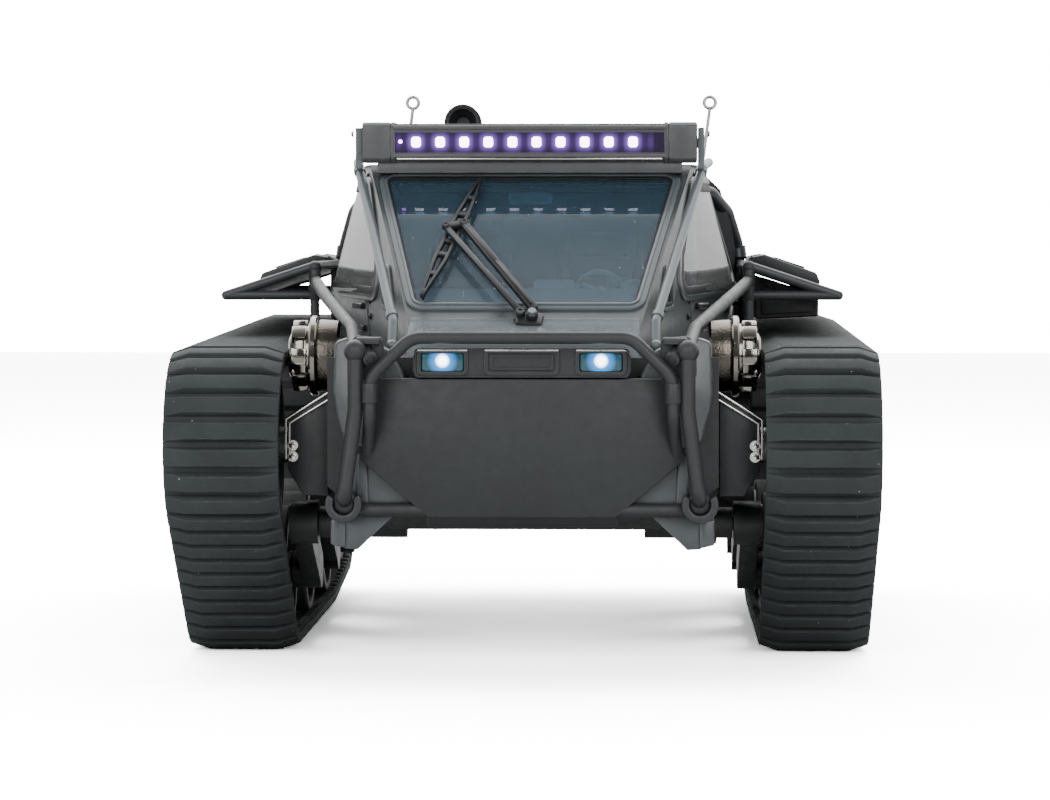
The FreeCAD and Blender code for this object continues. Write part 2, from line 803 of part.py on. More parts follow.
def screen_frame():
    """Placement of the wiper's own plane: X across, Y up the glass, Z off the glass."""
    base = Vector(size("wiper_x"), size("wiper_y"), 0)
    rise = size("(screen_top_z - screen_low_z) / (screen_top_y - screen_low_y)")
    base.z = size("screen_low_z") + rise * (base.y - size("screen_low_y"))
    return Placement(base, Rotation(Vector(1, 0, 0), math.degrees(math.atan(rise))))


def wiper_arm():
    """Two parallel bars from the pivot hub to the blade."""
    hub = Part.makeCylinder(4.5, 3.0, Vector(0, 0, 5.2))
    tip = Vector(-31, 55, 6.3)
    bars = [tube([Vector(-1 + shift, 2, 6.3), tip + Vector(shift, 0, 0)], 0.9, 1) for shift in (-2.2, 2.2)]
    yoke = Part.makeBox(9, 4, 1.6, tip + Vector(-4.5, -1.5, -0.8))
    bore = Part.makeCylinder(size("wiper_pin + run_gap"), 9, Vector(0, 0, 3))
    arm = hub.fuse(bars + [yoke]).cut(bore)
    item = feature("wiper_arm", arm)
    item.Placement = screen_frame()
    node(item, "wiper_arm")


def wiper_blade():
    """Blade that crosses the arm's tip."""
    low = Vector(-43, 14, 0)
    high = Vector(-22.5, 86, 0)
    along = (high - low).normalize()
    side = Vector(-along.y, along.x, 0) * 2.2
    outline = [low + side, low - side, high - side, high + side]
    blade = prism([point + Vector(0, 0, 1.2) for point in outline], Vector(0, 0, 4.2))
    item = feature("wiper_blade", blade)
    item.Placement = screen_frame()
    node(item, "wiper_blade")


def a_pillar():
    """Tube beside the windshield with the ear and pin that carry the light bar."""
    path = [spot("50.2", "-166", "deck_top + 4"), spot("50.2", "-158", "132"),
            spot("69.4", "screen_top_y", "screen_top_z + 0.5"), spot("72.4", "shoulder_y", "roof_z + 1.5")]
    bar = tube(path, size("pillar_r"), 6.0)
    ear = Part.makeBox(2.4, 13, 16, spot("light_half + 0.4", "light_y - 4", "light_z - 10"))
    pin = Part.makeCylinder(size("pivot_r"), 6, spot("light_half - 4", "light_y", "light_z"), Vector(1, 0, 0))
    both(feature("a_pillar", bar.fuse([ear, pin])), "a_pillar")


def light_bar():
    """Housing with a long window, hung between the ears."""
    half_depth = "light_depth / 2"
    half_height = "light_height / 2"
    body = plate_along("light_bar", [
        (f"light_y - {half_depth} + 2", f"light_z - {half_height}"),
        (f"light_y + {half_depth} - 2", f"light_z - {half_height}"),
        (f"light_y + {half_depth}", f"light_z - {half_height} + 2"),
        (f"light_y + {half_depth}", f"light_z + {half_height} - 2"),
        (f"light_y + {half_depth} - 2", f"light_z + {half_height}"),
        (f"light_y - {half_depth} + 2", f"light_z + {half_height}"),
        (f"light_y - {half_depth}", f"light_z + {half_height} - 2"),
        (f"light_y - {half_depth}", f"light_z - {half_height} + 2"),
    ], "-light_half", "light_half")
    window = sketch(body, "XZ_Plane", f"-(light_y - {half_depth} - 1)")
    polygon(window, rim("-light_window", "light_window", "light_z - window_height / 2",
                        "light_z + window_height / 2"))
    pocket(body, window, "5")
    for start in ("light_half - 5", "-light_half"):
        bore = sketch(body, "YZ_Plane", start)
        circle(bore, "light_y", "light_z", "pivot_r + run_gap")
        pocket(body, bore, "5", backwards=True)
    node(body, "light_bar")


def light_lens():
    """Clear cover in the light bar's window."""
    lens = doc.addObject("Part::Box", "light_lens")
    bind(lens, "Length", "2 * light_window")
    bind(lens, "Width", "1.4")
    bind(lens, "Height", "window_height")
    place(lens, "-light_window", "light_y - light_depth / 2 + 0.4", "light_z - window_height / 2")
    node(lens, "light_lens")


def cowl_solid(inset):
    """Rear cowl's outer form, drawn in by an inset."""
    front = [(84.5, size("deck_top")), (86.2, 160), (84.5, 170), (79.5, 186), (71, 194)]
    rear = [(76, size("deck_top")), (77, 148), (75, 156), (71, 163), (64, 168)]
    sections = []
    for along, half in ((size("cabin_rear") + 1 + inset, front), (176 - inset, rear)):
        drawn = [(across - inset, up - inset * (index > 1)) for index, (across, up) in enumerate(half)]
        left = [Vector(across, along, up) for across, up in drawn]
        right = [Vector(-point.x, along, point.z) for point in reversed(left)]
        sections.append(Part.makePolygon(left + right + left[:1]))
    return Part.makeLoft(sections, True, True)


def rear_cowl():
    """Hollow engine cover, open underneath."""
    shell = cowl_solid(0).cut(cowl_solid(size("wall")))
    shell.translate(Vector(0, 0, 0.4))
    node(feature("rear_cowl", shell), "rear_cowl")


def antenna(side, foot_x, tip_x):
    """Whip with a small loop at its end, standing on the cowl."""
    foot = Vector(foot_x, 126, 176)
    tip = Vector(tip_x, 126, 224)
    base = Part.makeCylinder(3.2, 10, foot)
    whip = tube([foot + Vector(0, 0, 6), tip], 0.8, 1)
    loop = Part.makeTorus(2.6, 0.8, tip + Vector(0, 0, 2.6), Vector(0, 1, 0))
    outer = cowl_solid(0)
    outer.translate(Vector(0, 0, 0.4))
    node(feature(f"antenna_{side}", base.fuse([whip, loop]).cut(outer)), f"antenna_{side}")


def roof_nozzle():
    """Forward-facing ring on a short post on the roof."""
    centre = Vector(-32, 26, 214)
    barrel = Part.makeCylinder(7.4, 16, centre + Vector(0, -8, 0), Vector(0, 1, 0))
    mouth = Part.makeCylinder(5.6, 6, centre + Vector(0, -8, 0), Vector(0, 1, 0))
    post = Part.makeBox(6, 10, 16, Vector(centre.x - 3, centre.y - 5, size("roof_z")))
    node(feature("roof_nozzle", barrel.fuse(post).cut(mouth)), "roof_nozzle")


def fender():
    """Sloped plate over the track in a frame of rails, on three struts from the hull."""
    inner_front = spot("fender_in", "fender_front", "fender_in_z")
    inner_rear = spot("fender_in", "fender_rear", "fender_in_z")
    outer_front = spot("fender_out", "fender_front", "fender_out_z")
    outer_rear = spot("fender_out", "fender_rear", "fender_out_z")
    radius = size("rail_r")
    frame = [tube([inner_front, inner_rear], radius, 1), tube([outer_front, outer_rear], radius, 1),
             tube([inner_front, outer_front], radius, 1), tube([inner_rear, outer_rear], radius, 1)]
    corners = (inner_front, inner_rear, outer_front, outer_rear)
    frame += [Part.makeSphere(radius, corner) for corner in corners]
    for outer in (outer_front, outer_rear):
        frame.append(tube([Vector(inner_front.x, outer.y, outer.z), outer], radius, 1))
    for y in (size("fender_front"), (size("fender_front + fender_rear")) / 2, size("fender_rear")):
        foot = Vector(size("hull_half"), y, 111)
        elbow = Vector(inner_front.x, y, 111)
        frame.append(tube([foot, elbow, Vector(inner_front.x, y, inner_front.z)], radius, 3.0))
    drop = Vector(0, 0, -0.8)
    outline = [inner_front + drop, outer_front + drop, outer_rear + drop, inner_rear + drop]
    sheet_metal = prism(outline, Vector(0, 0, 1.6))
    both(feature("fender", sheet_metal.fuse(frame)), "fender")


# ---------------------------------------------------------------- inside

def seat():
    """Bucket seat: cushion and back."""
    body = plate_along("seat", [
        ("-48", "deck_top"), ("-4", "deck_top"), ("6", "deck_top + 46"), ("-2", "deck_top + 48"),
        ("-14", "deck_top + 16"), ("-48", "deck_top + 18"),
    ], "10", "46")
    both(body, "seat")


def dashboard():
    """Dash across the cabin."""
    points = [("-112", "deck_top"), ("-92", "deck_top"), ("-90", "deck_top + 19"), ("-104", "deck_top + 24")]
    node(plate_along("dashboard", points, "-50", "50"), "dashboard")


def block(label, width, length, height, x, y, z):
    """Plain box held by expressions."""
    item = doc.addObject("Part::Box", label)
    bind(item, "Length", width)
    bind(item, "Width", length)
    bind(item, "Height", height)
    place(item, x, y, z)
    return item


def electronics():
    """Battery between its ribs and the receiver on the hull floor."""
    node(block("battery", "44", "116", "26", "-22", "-14", "belly_z + 4"), "battery")
    node(block("receiver", "40", "60", "12", "-20", "-110", "belly_z + 4"), "receiver")


def motor():
    """Drive motor beside the hull wall."""
    can = doc.addObject("Part::Cylinder", "motor")
    bind(can, "Radius", "14")
    bind(can, "Height", "56")
    can.Placement.Rotation = Rotation(Vector(0, 1, 0), 90)
    place(can, "hull_half - wall - 56", "sprocket_y - 4", "sprocket_z - 4")
    both(can, "motor")


def power_switch():
    """Slide switch in the hull's rear wall."""
    node(block("power_switch", "6", "4", "4.4", "-3", "hull_rear - 1.8", "96.3"), "power_switch")


def build():
    """Make every sub-part."""
    track_belt()
    road_wheels()
    idler_wheel()
    drive_sprocket()
    swing_arms()
    hull()
    deck()
    armour_plate()
    lamp_housing()
    headlight()
    bull_bar()
    fork()
    idler_mount()
    rear_bumper()
    cabin()
    windows()
    hood()
    wiper_arm()
    wiper_blade()
    a_pillar()
    light_bar()
    light_lens()
    rear_cowl()
    antenna("L", 70.5, 76)
    antenna("R", -65.5, -60)
    roof_nozzle()
    fender()
    seat()
    dashboard()
    electronics()
    motor()
    power_switch()


def sound(shape):
    """Whether a shape is one valid closed solid."""
    return not shape.isNull() and shape.isValid() and len(shape.Solids) == 1


def check():
    """Stop when anything failed to build."""
    for item in doc.Objects:
        if "Invalid" in item.State or "Error" in item.State:
            raise RuntimeError(f"{item.Name} failed: {item.State}")
    faults = [item.Label for item in NODES if not sound(item.Shape)]
    if faults:
        raise RuntimeError(f"not one valid solid each: {faults}")


def write():
    """One STEP file for each sub-part."""
    os.makedirs("parts", exist_ok=True)
    for item in NODES:
        item.Shape.exportStep(f"parts/{item.Label}.step")


build()
doc.recompute()
check()
write()
print(len(NODES), "sub-parts")
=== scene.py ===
import json
import math

import bmesh
import bpy
from mathutils import Matrix, Vector


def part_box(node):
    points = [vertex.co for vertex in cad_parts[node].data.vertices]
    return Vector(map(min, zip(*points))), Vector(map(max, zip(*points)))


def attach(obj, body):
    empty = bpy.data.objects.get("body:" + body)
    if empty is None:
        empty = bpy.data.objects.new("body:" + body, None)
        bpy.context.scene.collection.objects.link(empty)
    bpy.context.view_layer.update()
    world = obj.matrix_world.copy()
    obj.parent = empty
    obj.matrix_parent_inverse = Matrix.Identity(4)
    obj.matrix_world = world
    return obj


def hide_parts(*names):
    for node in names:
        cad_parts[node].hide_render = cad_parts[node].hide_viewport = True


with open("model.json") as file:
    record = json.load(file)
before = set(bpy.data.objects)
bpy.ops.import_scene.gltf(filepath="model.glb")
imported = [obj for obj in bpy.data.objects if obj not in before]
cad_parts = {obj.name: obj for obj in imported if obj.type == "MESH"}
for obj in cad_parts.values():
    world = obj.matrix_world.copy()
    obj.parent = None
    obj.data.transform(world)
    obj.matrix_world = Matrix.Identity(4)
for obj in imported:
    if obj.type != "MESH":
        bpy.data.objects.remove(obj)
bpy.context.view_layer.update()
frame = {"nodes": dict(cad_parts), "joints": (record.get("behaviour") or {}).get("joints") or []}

bl_info = {
    "name": "Tracked Car Finisher",
    "version": (1, 0, 0),
    "blender": (4, 5, 0),
    "location": "View3D > Sidebar > Tracked Car",
    "description": "Builds the visible pieces of a tracked radio-control car around its frame",
    "category": "Add Mesh",
}

MM = 0.001
SIDES = (("L", 1), ("R", -1))
ROAD_WHEELS = (1, 2, 3, 4)
JOINTS = {joint["name"]: joint for joint in frame["joints"]}


# ---------------------------------------------------------------- settings

class CarSizes(bpy.types.PropertyGroup):
    """Sizes that shape the pieces"""

    lug_pitch: bpy.props.FloatProperty(
        name="Lug pitch", description="Spacing of the cross lugs", default=9.6 * MM, unit="LENGTH")
    lug_height: bpy.props.FloatProperty(
        name="Lug height", description="Lug above its belt", default=3.0 * MM, unit="LENGTH")
    lug_taper: bpy.props.FloatProperty(
        name="Lug taper", description="Length of each sloping lug end", default=7.5 * MM, unit="LENGTH")
    belt_gap: bpy.props.FloatProperty(
        name="Belt gap", description="Space between a wheel rim and its belt", default=0.6 * MM,
        unit="LENGTH")
    belt_thick: bpy.props.FloatProperty(
        name="Belt thickness", description="Belt without its lugs", default=3.0 * MM, unit="LENGTH")
    led_count: bpy.props.IntProperty(name="LEDs", description="Lit LEDs in the light bar", default=10, min=1)
    led_pitch: bpy.props.FloatProperty(
        name="LED pitch", description="Spacing of the LEDs", default=9.63 * MM, unit="LENGTH")


class CarColours(bpy.types.PropertyGroup):
    """Colours of the finishes"""

    body: bpy.props.FloatVectorProperty(
        name="Body", description="Gunmetal body paint", subtype="COLOR", default=(0.058, 0.069, 0.074))
    armour: bpy.props.FloatVectorProperty(
        name="Armour", description="Matte plate", subtype="COLOR", default=(0.0155, 0.0185, 0.0195))
    tube: bpy.props.FloatVectorProperty(
        name="Tubes", description="Dark tube frame", subtype="COLOR", default=(0.021, 0.024, 0.025))
    rubber: bpy.props.FloatVectorProperty(
        name="Rubber", description="Belt rubber", subtype="COLOR", default=(0.021, 0.0245, 0.0245))
    chrome: bpy.props.FloatVectorProperty(
        name="Dark chrome", description="Smoked chrome", subtype="COLOR", default=(0.20, 0.19, 0.168))
    glass: bpy.props.FloatVectorProperty(
        name="Glass", description="Tinted glass", subtype="COLOR", default=(0.30, 0.50, 0.66))
    glow: bpy.props.FloatVectorProperty(
        name="Light bar glow", description="Light of the light bar", subtype="COLOR",
        default=(0.42, 0.20, 1.0))


def sizes():
    """Sizes that the panel shows."""
    return bpy.context.scene.tracked_car_sizes


def colours():
    """Colours that the panel shows."""
    return bpy.context.scene.tracked_car_colours


# ---------------------------------------------------------------- shapes

def mm(*values):
    """Point or vector from millimetres."""
    return Vector([value * MM for value in values])


def softened(part, edge, segments=2, angle=30):
    """Round a part's sharp edges and mark the rounded faces as the ones that wear."""
    wear = part.faces.layers.float.get("wear") or part.faces.layers.float.new("wear")
    if edge > 0:
        limit = math.radians(angle)
        sharp = [one for one in part.edges if one.is_manifold and one.calc_face_angle(0) > limit]
        made = bmesh.ops.bevel(
            part, geom=sharp, offset=edge, offset_type="OFFSET", affect="EDGES", segments=segments,
            profile=0.5, material=-1, clamp_overlap=True)
        for face in made["faces"]:
            face[wear] = 1.0
    return part


def block(low, high, edge):
    """Box between two corners."""
    part = bmesh.new()
    low, high = Vector(low), Vector(high)
    matrix = Matrix.Translation((low + high) / 2) @ Matrix.Diagonal([*(high - low), 1])
    bmesh.ops.create_cube(part, size=1, matrix=matrix)
    return softened(part, edge)


def rod(start, end, radius, end_radius=None, steps=24, edge=0.0):
    """Cylinder or cone between two points."""
    part = bmesh.new()
    start, end = Vector(start), Vector(end)
    turn = (end - start).to_track_quat("Z", "Y").to_matrix().to_4x4()
    far = radius if end_radius is None else end_radius
    bmesh.ops.create_cone(
        part, cap_ends=True, segments=steps, radius1=radius, radius2=far, depth=(end - start).length,
        matrix=Matrix.Translation((start + end) / 2) @ turn)
    return softened(part, edge)


def ball(centre, radius, steps=20):
    """Sphere."""
    part = bmesh.new()
    bmesh.ops.create_uvsphere(
        part, u_segments=steps, v_segments=steps // 2, radius=radius, matrix=Matrix.Translation(centre))
    return softened(part, 0)


def turned(profile, centre, axis, steps=48):
    """Shape turned about an axis from (distance along it, radius) pairs in millimetres."""
    part = bmesh.new()
    axis = Vector(axis).normalized()
    side = axis.orthogonal().normalized()
    spots = [part.verts.new(Vector(centre) + axis * (along * MM) + side * (radius * MM))
             for along, radius in profile]
    lines = [part.edges.new(pair) for pair in zip(spots, spots[1:])]
    bmesh.ops.spin(
        part, geom=spots + lines, cent=centre, axis=axis, dvec=(0, 0, 0), angle=2 * math.pi, steps=steps,
        use_merge=True, use_normal_flip=False, use_duplicate=False)
    bmesh.ops.remove_doubles(part, verts=part.verts, dist=1e-6)
    return softened(part, 0)


def thicken(part, faces, depth):
    """Draw flat faces out along a vector."""
    drawn = bmesh.ops.extrude_face_region(part, geom=faces)
    far = [item for item in drawn["geom"] if isinstance(item, bmesh.types.BMVert)]
    bmesh.ops.translate(part, verts=far, vec=depth)
    bmesh.ops.recalc_face_normals(part, faces=part.faces)


def slab(points, depth, edge, segments=2):
    """Flat outline given a thickness along a vector."""
    part = bmesh.new()
    face = part.faces.new([part.verts.new(point) for point in points])
    thicken(part, [face], depth)
    return softened(part, edge, segments)


def ring_slab(outer, inner, depth, edge):
    """Flat frame between two outlines with as many points, given a thickness along a vector."""
    part = bmesh.new()
    loops = []
    for points in (outer, inner):
        spots = [part.verts.new(point) for point in points]
        loops += [part.edges.new((spots[i - 1], spots[i])) for i in range(len(spots))]
    made = bmesh.ops.bridge_loops(part, edges=loops)
    thicken(part, made["faces"], depth)
    return softened(part, edge, angle=50)


def rounded(points, radius, closed=False, steps=6):
    """Line of points with each corner turned into an arc."""
    points = [Vector(point) for point in points]
    line = [] if closed else [points[0]]
    corners = range(len(points)) if closed else range(1, len(points) - 1)
    for index in corners:
        corner = points[index]
        back = points[index - 1] - corner
        ahead = points[(index + 1) % len(points)] - corner
        half = back.angle(ahead) / 2
        if half > math.radians(86):
            line.append(corner)
            continue
        reach = min(radius / math.tan(half), back.length * 0.49, ahead.length * 0.49)
        bend = reach * math.tan(half)
        back.normalize()
        ahead.normalize()
        centre = corner + (back + ahead).normalized() * (bend / math.sin(half))
        start = corner + back * reach - centre
        end = corner + ahead * reach - centre
        for step in range(steps + 1):
            line.append(centre + start.slerp(end, step / steps) * start.length)
    if not closed:
        line.append(points[-1])
    return line


def pipe(points, radius, bend=4 * MM, closed=False, sides=4):
    """Round tube along a line with rounded corners."""
    line = rounded(points, bend, closed)
    curve = bpy.data.curves.new("pipe", "CURVE")
    curve.dimensions = "3D"
    curve.bevel_depth = radius
    curve.bevel_resolution = sides
    curve.use_fill_caps = True
    spline = curve.splines.new("POLY")
    spline.points.add(len(line) - 1)
    for item, point in zip(spline.points, line):
        item.co = (*point, 1)
    spline.use_cyclic_u = closed
    holder = bpy.data.objects.new("pipe", curve)
    mesh = bpy.data.meshes.new_from_object(holder)
    part = bmesh.new()
    part.from_mesh(mesh)
    bpy.data.objects.remove(holder)
    bpy.data.curves.remove(curve)
    bpy.data.meshes.remove(mesh)
    bmesh.ops.remove_doubles(part, verts=part.verts, dist=1e-7)
    bmesh.ops.recalc_face_normals(part, faces=part.faces)
    return softened(part, 0)


def bolt(centre, axis, radius, height):
    """Hexagonal bolt head with a washer under it."""
    axis = Vector(axis).normalized()
    centre = Vector(centre)
    washer = rod(centre, centre + axis * height * 0.3, radius * 1.35, steps=20)
    head = rod(centre + axis * height * 0.3, centre + axis * height, radius, radius * 0.86, 6, 0.1 * MM)
    return joined([washer, head])


def moved(part, matrix):
    """The part after a matrix."""
    bmesh.ops.transform(part, matrix=matrix, verts=part.verts)
    if matrix.determinant() < 0:
        bmesh.ops.reverse_faces(part, faces=part.faces)
    return part


def joined(parts):
    """One part that holds all the given ones."""
    whole = parts[0]
    for part in parts[1:]:
        mesh = bpy.data.meshes.new("join")
        part.to_mesh(mesh)
        whole.from_mesh(mesh)
        bpy.data.meshes.remove(mesh)
        part.free()
    return whole


def repeated(part, matrices):
    """Copies of a part, one at each matrix."""
    mesh = bpy.data.meshes.new("copy")
    whole = bmesh.new()
    for matrix in matrices:
        copy = part.copy()
        bmesh.ops.transform(copy, matrix=matrix, verts=copy.verts)
        copy.to_mesh(mesh)
        whole.from_mesh(mesh)
        copy.free()
    bpy.data.meshes.remove(mesh)
    part.free()
    return whole


MIRROR = Matrix.Diagonal((-1, 1, 1, 1))


def piece(name, parts, material, body="chassis", smooth=35, stands_for=()):
    """Finished object made of parts, riding on a body of the frame."""
    whole = joined(parts)
    for face in whole.faces:
        face.smooth = True
    mesh = bpy.data.meshes.new(name)
    whole.to_mesh(mesh)
    whole.free()
    mesh.set_sharp_from_angle(angle=math.radians(smooth))
    item = bpy.data.objects.new(name, mesh)
    bpy.context.scene.collection.objects.link(item)
    item.data.materials.append(material)
    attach(item, body)
    if stands_for:
        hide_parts(*stands_for)
    return item


def pair(name, maker, material, body="chassis", slot="body", smooth=35, stands_for=()):
    """The same piece on both sides; maker gives the parts of the left one."""
    for tag, sign in SIDES:
        parts = maker()
        if sign < 0:
            parts = [moved(part, MIRROR) for part in parts]
        nodes = [node.format(tag) for node in stands_for]
        piece(f"{name}_{tag}", parts, material, body, smooth, nodes)


# ---------------------------------------------------------------- finishes

class Recipe:
    """Node material being put together."""

    def __init__(self, name):
        self.material = bpy.data.materials.new(name)
        self.material.use_nodes = True
        self.tree = self.material.node_tree
        self.shader = self.tree.nodes["Principled BSDF"]
        self.place = self.add("ShaderNodeTexCoord").outputs["Object"]

    def add(self, kind, **values):
        """Node with its named inputs set or linked."""
        node = self.tree.nodes.new(kind)
        for key, value in values.items():
            self.feed(node.inputs[key.replace("_", " ")], value)
        return node

    def feed(self, socket, value):
        """Set a socket, or link it when the value is another node's output."""
        if isinstance(value, bpy.types.NodeSocket):
            self.tree.links.new(value, socket)
        else:
            socket.default_value = value

    def noise(self, scale, detail=4, rough=0.5):
        """Noise in the piece's own space."""
        return self.add("ShaderNodeTexNoise", Vector=self.place, Scale=scale, Detail=detail, Roughness=rough)

    def ramp(self, value, low, high, out_low=0.0, out_high=1.0):
        """Value stretched from one range to another."""
        node = self.add("ShaderNodeMapRange", Value=value)
        for index, number in zip((1, 2, 3, 4), (low, high, out_low, out_high)):
            node.inputs[index].default_value = number
        return node.outputs[0]

    def blend(self, factor, first, second, way="MIX"):
        """Colour mix."""
        node = self.tree.nodes.new("ShaderNodeMix")
        node.data_type = "RGBA"
        node.blend_type = way
        self.feed(node.inputs[0], factor)
        self.feed(node.inputs[6], first)
        self.feed(node.inputs[7], second)
        return node.outputs[2]

    def sum(self, first, second, way="ADD"):
        """Arithmetic on two numbers."""
        node = self.tree.nodes.new("ShaderNodeMath")
        node.operation = way
        self.feed(node.inputs[0], first)
        self.feed(node.inputs[1], second)
        return node.outputs[0]

    def absolute(self, value):
        """Value without its sign."""
        return self.sum(value, 0.0, "ABSOLUTE")

    def bump(self, height, strength, distance):
        """Relief on the surface."""
        node = self.add("ShaderNodeBump", Strength=strength, Distance=distance, Height=height)
        self.tree.links.new(node.outputs[0], self.shader.inputs["Normal"])


def lighter(colour, gain):
    """Colour multiplied by a gain."""
    return [part * gain for part in colour]


def rgba(colour, gain=1.0):
    """Colour with full cover, lightened by a gain."""
    return (*[min(1.0, part * gain) for part in colour], 1.0)


def finish(name, colour, rough, metal=0.0, tint=0.14, spread=0.10, grain=1500, relief=0.12, wear=1.7,
           specks=0.0, coat=0.0, shine=0.5):
    """Paint, plastic or metal with blotches, fine grain, worn edges and dust."""
    recipe = Recipe(name)
    shader = recipe.shader
    blotch = recipe.noise(38, 5).outputs[0]
    fine = recipe.noise(grain, 3).outputs[0]
    smear = recipe.noise(190, 6, 0.65).outputs[0]
    shade = recipe.ramp(blotch, 0.3, 0.7)
    tone = recipe.blend(shade, rgba(colour, 1 - tint), rgba(colour, 1 + tint))
    worn = recipe.tree.nodes.new("ShaderNodeAttribute")
    worn.attribute_name = "wear"
    rub = recipe.sum(worn.outputs["Fac"], recipe.ramp(smear, 0.42, 0.62), "MULTIPLY")
    tone = recipe.blend(recipe.sum(rub, 0.75, "MULTIPLY"), tone, rgba(colour, wear))
    if specks > 0:
        cells = recipe.add("ShaderNodeTexVoronoi", Vector=recipe.place, Scale=420.0)
        near = recipe.ramp(cells.outputs["Distance"], 0.10, 0.06)
        chance = recipe.tree.nodes.new("ShaderNodeSeparateColor")
        recipe.tree.links.new(cells.outputs["Color"], chance.inputs[0])
        few = recipe.ramp(chance.outputs[0], 1 - specks, 1 - specks * 0.9)
        tone = recipe.blend(recipe.sum(near, few, "MULTIPLY"), tone, (0.55, 0.56, 0.55, 1.0))
    recipe.tree.links.new(tone, shader.inputs["Base Color"])
    gloss = recipe.ramp(smear, 0.25, 0.75, max(0.02, rough - spread), min(1.0, rough + spread))
    recipe.tree.links.new(gloss, shader.inputs["Roughness"])
    shader.inputs["Metallic"].default_value = metal
    shader.inputs["Specular IOR Level"].default_value = shine
    shader.inputs["Coat Weight"].default_value = coat
    shader.inputs["Coat Roughness"].default_value = 0.18
    recipe.bump(fine, relief, 0.2 * MM)
    return recipe.material


def glass_finish(name, colour, dust, haze, film):
    """Tinted clear glass with faint smears, dust, a thin film and a paler haze along its foot."""
    recipe = Recipe(name)
    shader = recipe.shader
    smear = recipe.noise(26, 2, 0.5).outputs[0]
    cells = recipe.add("ShaderNodeTexVoronoi", Vector=recipe.place, Scale=330.0)
    chance = recipe.tree.nodes.new("ShaderNodeSeparateColor")
    recipe.tree.links.new(cells.outputs["Color"], chance.inputs[0])
    few = recipe.ramp(chance.outputs[0], 1 - dust, 1 - dust * 0.8)
    speck = recipe.sum(recipe.ramp(cells.outputs["Distance"], 0.12, 0.07), few, "MULTIPLY")
    tone = recipe.blend(recipe.ramp(smear, 0.3, 0.7), rgba(colour, 0.95), rgba(colour, 1.05))
    split = recipe.add("ShaderNodeSeparateXYZ", Vector=recipe.place)
    tone = recipe.blend(recipe.ramp(split.outputs[2], 176 * MM, 136 * MM, 0.0, haze), tone, (1, 1, 1, 1))
    clear = recipe.sum(recipe.sum(1.0 - film, speck, "SUBTRACT"), 0.0, "MAXIMUM")
    recipe.tree.links.new(clear, shader.inputs["Transmission Weight"])
    recipe.tree.links.new(recipe.blend(speck, tone, (0.7, 0.76, 0.78, 1.0)), shader.inputs["Base Color"])
    recipe.tree.links.new(recipe.ramp(smear, 0.3, 0.8, 0.02, 0.05), shader.inputs["Roughness"])
    shader.inputs["IOR"].default_value = 1.3
    return recipe.material


def glow_finish(name, centre, reach, core, halo, rim, strength):
    """Lens lit from behind: bright at its centre, coloured towards its rim."""
    recipe = Recipe(name)
    shader = recipe.shader
    offset = recipe.tree.nodes.new("ShaderNodeVectorMath")
    offset.operation = "DISTANCE"
    recipe.tree.links.new(recipe.place, offset.inputs[0])
    offset.inputs[1].default_value = centre
    ramp = recipe.tree.nodes.new("ShaderNodeValToRGB")
    recipe.tree.links.new(recipe.ramp(offset.outputs["Value"], 0.0, reach), ramp.inputs[0])
    stops = ramp.color_ramp.elements
    stops[0].color = (*core, 1)
    stops[0].position = 0.14
    stops[1].color = (*rim, 1)
    stops[1].position = 0.66
    middle = stops.new(0.32)
    middle.color = (*halo, 1)
    recipe.tree.links.new(ramp.outputs[0], shader.inputs["Emission Color"])
    shader.inputs["Emission Strength"].default_value = strength
    shader.inputs["Base Color"].default_value = (0.02, 0.06, 0.07, 1)
    grain = recipe.ramp(recipe.noise(900).outputs[0], 0.3, 0.7, 0.05, 0.2)
    recipe.tree.links.new(grain, shader.inputs["Roughness"])
    return recipe.material


def lit_finish(name, colour, strength):
    """Bright diode whose light is a little uneven."""
    recipe = Recipe(name)
    uneven = recipe.ramp(recipe.noise(500).outputs[0], 0.3, 0.7)
    tone = recipe.blend(uneven, rgba(colour), rgba(colour, 1.1))
    recipe.tree.links.new(tone, recipe.shader.inputs["Emission Color"])
    recipe.shader.inputs["Emission Strength"].default_value = strength
    recipe.shader.inputs["Roughness"].default_value = 0.2
    return recipe.material


FINISHES = {}


